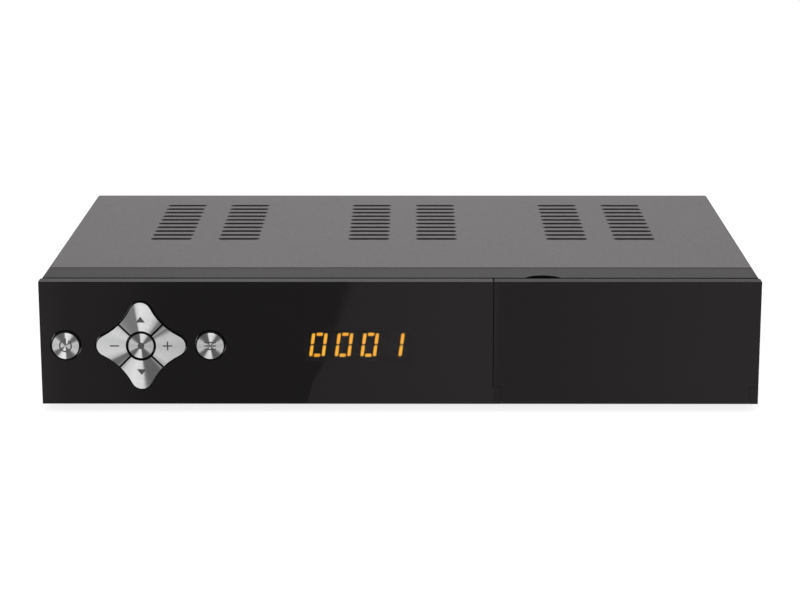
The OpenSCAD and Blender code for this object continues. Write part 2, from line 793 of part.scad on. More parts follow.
function stroke(name) = let (
        up = (digit_h - stroke_w) / 2,
        half_up = (digit_h / 2 - stroke_gap) / 2,
        side = digit_w / 2,
        half_flat = (digit_w - stroke_w) / 2 - stroke_gap
    )
    name == "a" ? bar([0, up], half_flat, false) :
    name == "b" ? bar([side, digit_h / 4], half_up, true) :
    name == "c" ? bar([side, -digit_h / 4], half_up, true) :
    name == "d" ? bar([0, -up], half_flat, false) :
    name == "e" ? bar([-side, -digit_h / 4], half_up, true) :
    name == "f" ? bar([-side, digit_h / 4], half_up, true) :
    bar([0, 0], half_flat, false);

module strokes(lit) {
    slab(display_y - stroke_t, display_y)
        for (place = [0:3], s = SEGMENTS)
            if ((len(search(s, LIT[place])) > 0) == lit)
                translate(display_at + [(place - 1.5) * digit_pitch, 0]) polygon(stroke(s));
}

module display_lit() { color("#ffb01f") placed() strokes(true); }

module display_dark() { color("#2c2a26") placed() strokes(false); }

module remote_eye() {
    color("#17131a") placed() translate([remote_eye_at[0], 0, remote_eye_at[1]]) {
        box([-3, plate_t + 4, -4], [3, plate_t + 8, 4]);
        translate([0, plate_t + 4, 0.6]) rotate([90, 0, 0]) cylinder(r = 2.4, h = 1);
        for (x = [-2, 0, 2]) box([x - 0.3, plate_t + 7, -3.6], [x + 0.3, front_board_y, -3]);
    }
}

ribbon_x = fascia_right - 23;
ribbon_w = 12;
ribbon_t = 0.8;
ribbon_bend = 5;
ribbon_z = key_z + 2;
ribbon_end_y = main_y0 + 6;
header = [15, 5, 6];

module ribbon_headers() {
    color("#e8e4d8") placed() {
        box([ribbon_x - header[0] / 2, front_board_back, ribbon_z - header[1] / 2],
            [ribbon_x + header[0] / 2, front_board_back + header[2], ribbon_z + header[1] / 2]);
        chip([ribbon_x, ribbon_end_y], header);
    }
}

// the ribbon runs back from the front board, turns down and ends in the main board's header
module ribbon_cable() {
    turn = [ribbon_end_y - ribbon_bend, ribbon_z - ribbon_bend];
    color("#b9bcc0") placed() across(ribbon_x - ribbon_w / 2, ribbon_x + ribbon_w / 2) {
        rect([front_board_back + header[2], ribbon_z - ribbon_t / 2], [turn[0], ribbon_z + ribbon_t / 2]);
        translate(turn) intersection() {
            difference() {
                circle(r = ribbon_bend + ribbon_t / 2);
                circle(r = ribbon_bend - ribbon_t / 2);
            }
            square(2 * ribbon_bend);
        }
        rect([ribbon_end_y - ribbon_t / 2, board_top + header[2]], [ribbon_end_y + ribbon_t / 2, turn[1]]);
    }
}

// ---------------------------------------------------------------- main board

module main_board() {
    color("#1f6a3d") placed() difference() {
        layer(board_z, board_top) polygon([
            [main_x0, main_y0], [tongue_x0, main_y0], [tongue_x0, main_tongue_y],
            [main_x1, main_tongue_y], [main_x1, main_y1], [main_x0, main_y1],
        ]);
        layer(board_z - overlap, board_top + overlap)
            for (p = MAIN_SPACERS) translate(p) circle(r = screw_clear_r);
    }
}

module power_board() {
    color("#b98c4a") placed() difference() {
        layer(board_z, board_top) rect([power_x0, power_y0], [power_x1, power_y1]);
        layer(board_z - overlap, board_top + overlap)
            for (p = POWER_SPACERS) translate(p) circle(r = screw_clear_r);
    }
}

module board_spacers() {
    color("#c7c7c3") placed() difference() {
        layer(floor_z, board_z) for (p = concat(POWER_SPACERS, MAIN_SPACERS)) translate(p) circle(r = 3.2);
        layer(floor_z + 1, board_z + overlap)
            for (p = concat(POWER_SPACERS, MAIN_SPACERS)) translate(p) circle(r = screw_pilot_r);
    }
}

module board_screws() {
    color("#b4b4b2") placed()
        for (p = concat(POWER_SPACERS, MAIN_SPACERS))
            translate([p[0], p[1], board_top]) rotate([180, 0, 0]) case_screw();
}

module tuner_can() {
    x0 = f_in_x - tuner_edge;
    x1 = f_out_x + tuner_edge;
    color("#b9babc") placed() {
        difference() {
            box([x0, main_y1 - tuner_d, board_top], [x1, rear_in, board_top + tuner_h]);
            for (x = [x0 + 5 : 7 : x1 - 5], y = [main_y1 - tuner_d + 7, main_y1 - tuner_d + 14])
                translate([x, y, board_top + tuner_h - 0.4]) cylinder(d = 3, h = overlap);
        }
    }
}

module lnb_connector(x) {
    color("#c8c9c4") placed() difference() {
        union() {
            slab(rear_in, rear_out + nut_t) translate([x, f_z]) circle(d = f_shank_dia);
            slab(rear_out + nut_t, body_d + f_reach) translate([x, f_z]) circle(d = f_thread_dia);
        }
        slab(body_d + f_reach - 7, body_d + f_reach + overlap) translate([x, f_z]) difference() {
            circle(r = 3.3);
            circle(r = 2.4);
        }
        slab(body_d + f_reach - 7, body_d + f_reach + overlap) translate([x, f_z]) circle(r = 0.6);
    }
}

module connector_nuts() {
    color("#b6b7b2") placed()
        slab(rear_out, rear_out + nut_t)
            for (x = F_AT) translate([x, f_z]) difference() {
                circle(d = nut_af / cos(30), $fn = 6);
                circle(d = f_shank_dia + 0.1);
            }
}

processor_at = [tongue_x0 - 17, main_y1 - 62];
reader_back = bay_port_y + reader_d;
processor_size = [27, 27, 2.2];
sink_size = [34, 34, 12];
sink_base = 3;
sink_fins = 8;

module processor() { color("#18181a") placed() chip(processor_at, processor_size); }

module heat_sink() {
    base_z = board_top + processor_size[2];
    fin_t = 1.2;
    corner = [processor_at[0] - sink_size[0] / 2, processor_at[1] - sink_size[1] / 2, base_z];
    color("#34373a") placed() translate(corner) {
        cube([sink_size[0], sink_size[1], sink_base]);
        for (i = [0:sink_fins - 1])
            translate([i * (sink_size[0] - fin_t) / (sink_fins - 1), 0, 0])
                cube([fin_t, sink_size[1], sink_size[2]]);
    }
}

module memory_chips() {
    color("#1b1b1d") placed() {
        chip(processor_at + [-24.5, 4], [8, 22, 1.2]);
        chip(processor_at + [-24.5, -20], [8, 14, 1.2]);
        chip(processor_at + [0, -26], [8, 6, 1.6]);
    }
}

module main_capacitors() {
    color("#23262b") placed() {
        for (x = [14, 26, 38]) can([main_x0 + x, main_y1 - 28], 4, 12);
        for (y = [14, 4, -6]) can([tongue_x0 + 19, processor_at[1] + y], 3.2, 9);
        for (x = [0, 9, 18]) can([reader_x + 14 + x, main_y1 - tuner_d - 12], 2.5, 7);
    }
}

// small parts of the main board: a crystal, coils, regulators and a flat cable socket
module board_parts() {
    color("#8d8f92") placed() {
        chip(processor_at + [-12, -24], [11, 4.6, 3.6]);
        for (x = [8, 19, 30]) chip([reader_x + x, reader_back + 7], [7, 7, 3.4]);
        for (x = [8, 17]) chip([main_x0 + x, main_y0 + 14], [6.5, 6, 1.8]);
        for (i = [0:5]) chip(processor_at + [-26 + i * 5, 21.5], [3.2, 1.6, 1.2]);
        for (i = [0:4]) chip(processor_at + [-20 + i * 6, -34], [1.6, 3.2, 1.2]);
    }
}

module hdmi_socket() {
    wall = 0.5;
    y1 = body_d + 0.6;
    y0 = y1 - hdmi_d;
    color("#c3c4c5") placed() {
        difference() {
            box([hdmi_x - hdmi_w / 2, y0, board_top], [hdmi_x + hdmi_w / 2, y1, board_top + hdmi_h]);
            slab(y0 + 1.5, y1 + overlap) polygon([
                for (p = [[-1, 0.24], [-0.82, 0], [0.82, 0], [1, 0.24], [1, 1], [-1, 1]])
                    [hdmi_x + p[0] * (hdmi_w / 2 - wall), board_top + wall + p[1] * (hdmi_h - 2 * wall)]
            ]);
        }
        box([hdmi_x - 5, y0 + 1, board_top + hdmi_h / 2], [hdmi_x + 5, y1 - 2, board_top + hdmi_h / 2 + 1]);
    }
}

// outline of the television socket: a long shape with one slanted end
module scart_outline(inset) {
    w = scart_w / 2 - inset;
    h = scart_h / 2 - inset;
    cut = 5 - inset / 2;
    translate([scart_x, scart_z + scart_h / 2])
        polygon([[-w, -h], [w - cut, -h], [w, -h + cut], [w, h - cut], [w - cut, h], [-w, h]]);
}

module scart_socket() {
    y1 = body_d + 0.6;
    y0 = y1 - scart_d;
    color("#1c1c1e") placed() {
        difference() {
            union() {
                box([scart_x - scart_w / 2, y0, scart_z], [scart_x + scart_w / 2, y1, scart_z + scart_h]);
                box([scart_x - scart_w / 2, y0, board_top], [scart_x + scart_w / 2, rear_in, scart_z]);
            }
            slab(y1 - 11, y1 + overlap) difference() {
                scart_outline(1.2);
                scart_outline(3.2);
            }
            slab(y1 - 9, y1 + overlap)
                for (i = [0:9], row = [0, 1])
                    translate([scart_x - 18 + i * 3.8 + row * 1.9, scart_z + scart_h / 2 + (row - 0.5) * 4.4])
                        square([0.8, 2.6], center = true);
        }
    }
}

module rca_block() {
    color("#161618") placed() difference() {
        union() {
            box([rca_mid_x - rca_block_w / 2, rear_in - rca_block_d, board_top],
                [rca_mid_x + rca_block_w / 2, rear_in, rca_z + 6]);
            slab(rear_in, body_d + rca_reach - 1.5)
                for (x = RCA_AT) translate([x, rca_z]) circle(d = rca_dia - 2);
        }
        slab(rear_in - 4, body_d + rca_reach) for (x = RCA_AT) translate([x, rca_z]) circle(r = 1.6);
    }
}

module rca_sleeves() {
    color("#d0d0cc") placed()
        for (x = RCA_AT) {
            slab(rear_in, rear_out) translate([x, rca_z]) difference() {
                circle(d = rca_dia + 1);
                circle(d = rca_dia - 2);
            }
            slab(rear_out, body_d + rca_reach) translate([x, rca_z]) difference() {
                circle(d = rca_dia);
                circle(d = rca_dia - 2);
            }
        }
}

module usb_socket() {
    wall = 0.5;
    y1 = bay_port_y + usb_d;
    color("#c6c7c8") placed() {
        difference() {
            box([usb_x - usb_w / 2, bay_port_y, board_top], [usb_x + usb_w / 2, y1, board_top + usb_h]);
            box([usb_x - usb_w / 2 + wall, bay_port_y - overlap, board_top + wall],
                [usb_x + usb_w / 2 - wall, y1 - 1.5, board_top + usb_h - wall]);
        }
        box([usb_x - 5.6, bay_port_y + 1, board_top + usb_h - wall - 2.4],
            [usb_x + 5.6, y1 - 1, board_top + usb_h - wall - 0.6]);
    }
}

module card_reader() {
    y1 = bay_port_y + reader_d;
    slot_z = board_top + reader_h / 2;
    color("#26262a") placed() difference() {
        box([reader_x - reader_w / 2, bay_port_y, board_top],
            [reader_x + reader_w / 2, y1, board_top + reader_h]);
        box([reader_x - card_w / 2, bay_port_y - overlap, slot_z - card_t / 2],
            [reader_x + card_w / 2, y1 - 4, slot_z + card_t / 2]);
        box([reader_x - 9, bay_port_y - overlap, board_top + 1.2],
            [reader_x + 9, bay_port_y + 7, board_top + reader_h - 1.2]);
        box([reader_x - 16, bay_port_y + 16, slot_z],
            [reader_x + 16, y1 - 10, board_top + reader_h + overlap]);
    }
}

// ---------------------------------------------------------------- power supply

module mains_inlet() {
    y1 = body_d + inlet_proud;
    y0 = y1 - inlet_d;
    cavity_r = 3.9;
    color("#141415") placed() difference() {
        union() {
            box([inlet_x - inlet_w / 2, y0, inlet_z - inlet_h / 2],
                [inlet_x + inlet_w / 2, y1, inlet_z + inlet_h / 2]);
            slab(rear_out, body_d + inlet_proud)
                rect([inlet_x - inlet_w / 2 - 1.5, inlet_z - inlet_h / 2 - 1.2],
                     [inlet_x + inlet_w / 2 + 1.5, inlet_z + inlet_h / 2 + 1.2]);
        }
        slab(y1 - 12, y1 + overlap) translate([inlet_x, inlet_z]) {
            for (s = [-1, 1]) translate([s * inlet_pin_pitch / 2, 0]) circle(r = cavity_r);
            square([inlet_pin_pitch, 2 * cavity_r - 1], center = true);
        }
    }
}

module inlet_pins() {
    color("#c9c7be") placed()
        slab(body_d + inlet_proud - 12, body_d + inlet_proud - 3)
            for (s = [-1, 1]) translate([inlet_x + s * inlet_pin_pitch / 2, inlet_z]) circle(r = inlet_pin_r);
}

module line_filter() {
    at = [inlet_x, power_y1 - 34];
    color("#c8a23a") placed() {
        chip(at + [-10, 0], [8, 18, 15]);
        chip(at + [6, 0], [18, 16, 4]);
        translate([at[0] + 6, at[1], board_top + 4]) difference() {
            cylinder(r = 8, h = 10);
            translate([0, 0, -overlap]) cylinder(r = 3, h = 10 + 2 * overlap);
        }
        chip(at + [19, 4], [6, 20, 8]);
    }
}

module mains_capacitor() {
    color("#20242c") placed() {
        can([power_x0 + 14, power_y0 + 42], 9, min(27, z1 - sheet_t - board_top - 4));
        can([power_x0 + 30, power_y0 + 50], 4, 12);
    }
}

module transformer() {
    at = [power_x0 + 40, power_y0 + 34];
    color("#3c3a38") placed() {
        chip(at, [28, 22, 4]);
        translate([at[0] - 8, at[1] - 9, board_top + 4]) cube([16, 18, 14]);
        for (s = [-1, 1]) translate([at[0] + s * 10.5 - 2.5, at[1] - 6, board_top + 4]) cube([5, 12, 17]);
        translate([at[0] - 13, at[1] - 6, board_top + 18]) cube([26, 12, 3]);
    }
}

module switch_heat_sink() {
    at = [power_x0 + 20, power_y0 + 17];
    color("#a3a6a8") placed() {
        chip(at, [26, 2.4, 24]);
        for (x = [-12, -4, 4, 12]) chip(at + [x, -3.2], [1.4, 6, 24]);
        translate([at[0] - 5, at[1] + 0.7, board_top + 6]) cube([10, 4.9, 14]);
    }
}

module output_capacitors() {
    color("#2a2130") placed()
        for (p = [[-9, 15], [-20, 15], [-9, 52]]) can([power_x1, power_y0] + p, 5, 20);
}

// wires from the power board to the main board, each up, over and down into a header
wire_r = 0.7;
wire_pitch = 2;
wire_count = 5;
wire_bend = 5;
wire_lift = 18;
harness_y = power_y0 + 66;
harness_x0 = power_x1 - 8;
harness_x1 = main_x0 + 5;
harness_header = [5, wire_count * wire_pitch + 2, 7];

module wire() {
    top = board_top + harness_header[2] + wire_lift - wire_bend;
    for (x = [harness_x0, harness_x1])
        translate([x, 0, board_top + harness_header[2]])
            cylinder(r = wire_r, h = wire_lift - 2 * wire_bend);
    for (e = [[harness_x0 + wire_bend, 180], [harness_x1 - wire_bend, 90]])
        translate([e[0], 0, top - wire_bend])
            rotate([90, 0, 0]) rotate([0, 0, e[1] - 90]) rotate_extrude(angle = 90)
                translate([wire_bend, 0]) circle(r = wire_r);
    translate([harness_x0 + wire_bend, 0, top])
        rotate([0, 90, 0]) cylinder(r = wire_r, h = harness_x1 - harness_x0 - 2 * wire_bend);
}

module power_harness() {
    color("#b3352b") placed() {
        for (x = [harness_x0, harness_x1]) chip([x, harness_y], harness_header);
        for (i = [0:wire_count - 1])
            translate([0, harness_y + (i - (wire_count - 1) / 2) * wire_pitch, 0]) wire();
    }
}

// ---------------------------------------------------------------- nodes

base_tray();
top_cover();
cover_screws();
feet();
front_frame();
frame_screws();
fascia();
door();
catch_magnet();
catch_strike();
for (k = KEYS) {
    key_button(k);
    key_plunger(k);
}
front_board();
front_board_screws();
key_switches();
display_module();
display_lit();
display_dark();
remote_eye();
ribbon_cable();
ribbon_headers();
main_board();
power_board();
board_spacers();
board_screws();
tuner_can();
lnb_connector(f_in_x);  // lnb_in_connector
lnb_connector(f_out_x);  // lnb_out_connector
connector_nuts();
processor();
heat_sink();
memory_chips();
main_capacitors();
board_parts();
hdmi_socket();
scart_socket();
rca_block();
rca_sleeves();
usb_socket();
card_reader();
mains_inlet();
inlet_pins();
line_filter();
mains_capacitor();
transformer();
switch_heat_sink();
output_capacitors();
power_harness();
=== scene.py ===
"""Looks for the satellite television receiver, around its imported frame.

The CAD frame gives every piece its place in metres. This script dresses its nodes with bevelled
copies and procedural finishes, adds fine parts with Geometry Nodes, and sets up the studio.
Lengths are written in millimetres, unless a line says that they are in metres.
"""

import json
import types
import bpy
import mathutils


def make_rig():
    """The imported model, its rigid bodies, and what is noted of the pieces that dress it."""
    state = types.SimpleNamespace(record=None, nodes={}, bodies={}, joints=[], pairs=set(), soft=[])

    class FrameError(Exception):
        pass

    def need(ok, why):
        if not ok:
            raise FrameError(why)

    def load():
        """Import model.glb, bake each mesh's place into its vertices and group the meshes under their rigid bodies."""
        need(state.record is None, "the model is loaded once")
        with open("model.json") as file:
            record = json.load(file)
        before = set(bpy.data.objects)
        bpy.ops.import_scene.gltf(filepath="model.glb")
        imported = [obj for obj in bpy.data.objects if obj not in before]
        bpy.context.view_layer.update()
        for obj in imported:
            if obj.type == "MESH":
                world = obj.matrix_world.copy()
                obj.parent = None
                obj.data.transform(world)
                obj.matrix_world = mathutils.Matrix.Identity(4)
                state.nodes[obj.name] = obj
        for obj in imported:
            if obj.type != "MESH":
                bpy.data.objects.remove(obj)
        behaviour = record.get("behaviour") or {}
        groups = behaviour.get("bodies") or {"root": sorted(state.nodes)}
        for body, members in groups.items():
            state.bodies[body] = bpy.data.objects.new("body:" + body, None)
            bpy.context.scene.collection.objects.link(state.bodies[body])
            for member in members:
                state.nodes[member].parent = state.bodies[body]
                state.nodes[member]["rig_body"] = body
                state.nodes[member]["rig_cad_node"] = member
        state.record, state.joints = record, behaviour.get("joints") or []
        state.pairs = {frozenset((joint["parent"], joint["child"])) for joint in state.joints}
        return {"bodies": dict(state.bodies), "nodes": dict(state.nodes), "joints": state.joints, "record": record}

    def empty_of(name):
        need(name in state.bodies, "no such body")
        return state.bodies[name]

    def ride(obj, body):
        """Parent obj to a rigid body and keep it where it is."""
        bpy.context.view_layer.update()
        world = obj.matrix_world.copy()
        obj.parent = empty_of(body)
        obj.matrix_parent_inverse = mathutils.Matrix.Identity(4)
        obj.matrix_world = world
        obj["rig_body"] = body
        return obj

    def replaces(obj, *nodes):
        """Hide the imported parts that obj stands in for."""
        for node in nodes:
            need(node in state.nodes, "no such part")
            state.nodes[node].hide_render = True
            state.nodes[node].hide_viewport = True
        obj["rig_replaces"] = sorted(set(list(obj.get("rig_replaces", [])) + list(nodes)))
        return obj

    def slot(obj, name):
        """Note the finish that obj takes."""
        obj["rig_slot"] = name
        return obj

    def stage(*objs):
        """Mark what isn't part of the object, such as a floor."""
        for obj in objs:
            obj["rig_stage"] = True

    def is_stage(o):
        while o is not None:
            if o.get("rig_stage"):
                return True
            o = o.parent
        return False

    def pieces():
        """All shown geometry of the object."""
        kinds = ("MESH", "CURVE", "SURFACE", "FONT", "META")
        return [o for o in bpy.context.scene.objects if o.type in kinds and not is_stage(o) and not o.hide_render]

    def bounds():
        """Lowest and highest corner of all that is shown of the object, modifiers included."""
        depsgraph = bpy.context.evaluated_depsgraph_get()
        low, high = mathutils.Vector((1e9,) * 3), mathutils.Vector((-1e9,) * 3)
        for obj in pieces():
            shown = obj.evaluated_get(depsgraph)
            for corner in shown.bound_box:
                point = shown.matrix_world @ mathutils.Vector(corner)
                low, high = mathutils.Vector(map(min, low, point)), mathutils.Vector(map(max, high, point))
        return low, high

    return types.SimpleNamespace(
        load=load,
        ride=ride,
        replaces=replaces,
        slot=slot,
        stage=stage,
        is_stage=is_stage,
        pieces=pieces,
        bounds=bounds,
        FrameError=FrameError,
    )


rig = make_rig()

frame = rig.load()

import json
import logging
import math
from collections.abc import Callable, Sequence
from dataclasses import dataclass
from enum import Enum

import bmesh
import bpy
from bmesh.types import BMEdge, BMesh, BMFace, BMVert
from bpy.types import Material, Mesh, Node, NodeSocket, Object
from mathutils import Matrix, Vector

log = logging.getLogger("receiver")

Point = tuple[float, float]
Point3 = tuple[float, float, float]
Area = tuple[float, float, float, float]
Colour = tuple[float, float, float]

MM = 0.001
SIZE_FILE = "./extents.json"
CASE = "case"
DOOR = "door"
# how near two points, in metres, count as one, and how near a cut a point counts as on it
MERGE = 0.0005 * MM
CUT = 1e-7

# the front panel, in millimetres: its front, its top, and the two sides of the seam
PANEL_FRONT = -84.25
PANEL_TOP = 48.6
FASCIA_END = 33.55
DOOR_START = 33.85
# the door's hinge: its axis along Y and Z, its knuckles' radius, and what closes their joints
HINGE: Point = (-81.85, 5.4)
KNUCKLE_RADIUS = 4.3
JOINT_CLOSER = 0.26
# middles of the keys along X and Z, and how far the signs of the pad's keys lie from its middle
PAD_MIDDLE: Point = (-93.5, 25.0)
POWER_MIDDLE: Point = (-120.8, 25.0)
MENU_MIDDLE: Point = (-68.5, 25.0)
PETAL = 9.6


# ---------------------------------------------------------------- node trees

class NodeTree:
    """Nodes of one tree, added from left to right."""

    def __init__(self, tree: bpy.types.NodeTree) -> None:
        """Takes the tree that the nodes go into.

        Args:
            tree: The tree.
        """
        self.tree = tree

    def add(self, kind: str, inputs: dict | None = None, **settings: object) -> Node:
        """Adds a node.

        Args:
            kind: The node's Blender type.
            inputs: Values, sockets or lists of sockets by the name or the index of the input.
            **settings: Attributes of the node.

        Returns:
            The new node.
        """
        node = self.tree.nodes.new(kind)
        for key, value in settings.items():
            setattr(node, key, value)
        for key, value in (inputs or {}).items():
            for one in value if isinstance(value, list) else [value]:
                self.feed(node.inputs[key], one)
        return node

    def feed(self, socket: NodeSocket, value: object) -> None:
        """Links a socket to another one, or sets its value.

        Args:
            socket: The input.
            value: A socket to link, or a plain value.
        """
        if isinstance(value, NodeSocket):
            self.tree.links.new(value, socket)
        else:
            socket.default_value = value

    def vector(self, x: object = 0.0, y: object = 0.0, z: object = 0.0) -> NodeSocket:
        """Returns a vector socket from three values or sockets."""
        return self.add("ShaderNodeCombineXYZ", {0: x, 1: y, 2: z}).outputs[0]


class Graph(NodeTree):
    """Shader nodes of a material or of the world."""

    def __init__(self, owner: Material | bpy.types.World) -> None:
        """Empties the owner's nodes and starts them again with the output.

        Args:
            owner: The material or the world.
        """
        owner.use_nodes = True
        super().__init__(owner.node_tree)
        self.owner = owner
        self.tree.nodes.clear()
        self.output = self.add("ShaderNodeOutput" + type(owner).__name__)

    def place(self, scale: Point3 = (1, 1, 1), middle: Point3 = (0, 0, 0),
              turn: Point3 = (0, 0, 0)) -> NodeSocket:
        """Object coordinates, centred and scaled.

        Args:
            scale: Scale along each axis.
            middle: Point that becomes the origin, in metres.
            turn: Turn in radians.

        Returns:
            A vector socket.
        """
        coord = self.add("ShaderNodeTexCoord").outputs["Object"]
        centred = self.vectors("SUBTRACT", coord, middle)
        return self.add("ShaderNodeMapping", {
            "Vector": centred, "Scale": scale, "Rotation": turn}).outputs[0]

    def axes(self, vector: NodeSocket) -> tuple[NodeSocket, ...]:
        """Returns the three parts of a vector."""
        return tuple(self.add("ShaderNodeSeparateXYZ", {0: vector}).outputs)

    def channels(self, colour: NodeSocket) -> tuple[NodeSocket, ...]:
        """Returns the three parts of a colour."""
        return tuple(self.add("ShaderNodeSeparateColor", {0: colour}).outputs)

    def noise(self, vector: NodeSocket, scale: float, detail: float = 3,
              rough: float = 0.5) -> NodeSocket:
        """Noise as a grey value around 0.5.

        Args:
            vector: Where it is read.
            scale: Features to a metre.
            detail: Octaves.
            rough: Weight of the fine octaves.

        Returns:
            A value socket.
        """
        return self.add("ShaderNodeTexNoise", {
            "Vector": vector, "Scale": scale, "Detail": detail, "Roughness": rough}).outputs["Fac"]

    def maths(self, operation: str, a: object, b: object = 0.0, c: object = 0.0) -> NodeSocket:
        """Returns the result of a Math node."""
        return self.add("ShaderNodeMath", {0: a, 1: b, 2: c}, operation=operation).outputs[0]

    def vectors(self, operation: str, a: NodeSocket, b: object) -> NodeSocket:
        """Returns the result of a Vector Math node."""
        return self.add("ShaderNodeVectorMath", {0: a, 1: b}, operation=operation).outputs[0]

    def span(self, value: NodeSocket, low: float, high: float, to_low: float = 0.0,
             to_high: float = 1.0) -> NodeSocket:
        """Maps a range of values to another one.

        Args:
            value: The value to map.
            low: Start of its range.
            high: End of its range.
            to_low: What the start becomes.
            to_high: What the end becomes.

        Returns:
            A value socket.
        """
        return self.add("ShaderNodeMapRange", {
            "Value": value, "From Min": low, "From Max": high, "To Min": to_low,
            "To Max": to_high}).outputs["Result"]

    def vary(self, noise: NodeSocket, to_low: float = 0.0, to_high: float = 1.0) -> NodeSocket:
        """Returns the usual range of a noise, mapped to another range."""
        return self.span(noise, 0.3, 0.7, to_low, to_high)

    def blend(self, share: object, a: object, b: object) -> NodeSocket:
        """Mixes two colours.

        Args:
            share: How much of the second one shows.
            a: First colour or socket.
            b: Second colour or socket.

        Returns:
            A colour socket.
        """
        node = self.add("ShaderNodeMix", data_type="RGBA")
        for name, value in (("Factor_Float", share), ("A_Color", a), ("B_Color", b)):
            socket = next(s for s in node.inputs if s.identifier == name)
            self.feed(socket, four(value) if isinstance(value, tuple) else value)
        return next(s for s in node.outputs if s.identifier == "Result_Color")

    def ramp(self, value: NodeSocket, stops: Sequence[tuple[float, Colour]]) -> NodeSocket:
        """A colour ramp.

        Args:
            value: Where the ramp is read.
            stops: Places from 0 to 1 with their colours, in order.

        Returns:
            A colour socket.
        """
        node = self.add("ShaderNodeValToRGB", {"Fac": value})
        parts = node.color_ramp.elements
        for index, (place, colour) in enumerate(stops):
            part = parts[index] if index < 2 else parts.new(place)
            part.position = place
            part.color = four(colour)
        return node.outputs["Color"]

    def levels(self, value: NodeSocket, stops: Sequence[Point], white: float) -> NodeSocket:
        """Greys along a length, from 0 to 1.

        Args:
            value: A place in metres.
            stops: Places in millimetres with the level there, in order.
            white: Level that becomes 1.

        Returns:
            A colour socket.
        """
        low, high = stops[0][0], stops[-1][0]
        return self.ramp(self.span(value, low * MM, high * MM), [
            ((place - low) / (high - low), even(level / white)) for place, level in stops])

    def bump(self, height: NodeSocket, strength: float, reach: float) -> NodeSocket:
        """A bumped normal.

        Args:
            height: The height map.
            strength: Its strength.
            reach: Height of the map's 1, in millimetres.

        Returns:
            A normal socket.
        """
        return self.add("ShaderNodeBump", {
            "Height": height, "Strength": strength, "Distance": reach * MM}).outputs[0]

    def surface(self, colour: object, roughness: object, metallic: float = 0.0,
                normal: NodeSocket | None = None, **plain: object) -> Material:
        """Ends the graph in one Principled shader.

        Args:
            colour: Base colour or its socket.
            roughness: Roughness or its socket.
            metallic: 0 or 1.
            normal: A bumped normal.
            **plain: Other inputs by name, with underscores for spaces.

        Returns:
            The finished material.
        """
        inputs = {"Base Color": four(colour) if isinstance(colour, tuple) else colour,
                  "Roughness": roughness, "Metallic": metallic}
        if normal is not None:
            inputs["Normal"] = normal
        inputs.update({key.replace("_", " "): value for key, value in plain.items()})
        return self.end(self.add("ShaderNodeBsdfPrincipled", inputs))

    def end(self, shader: Node) -> Material | bpy.types.World:
        """Links the last shader to the output, and returns the owner."""
        self.tree.links.new(shader.outputs[0], self.output.inputs["Surface"])
        return self.owner


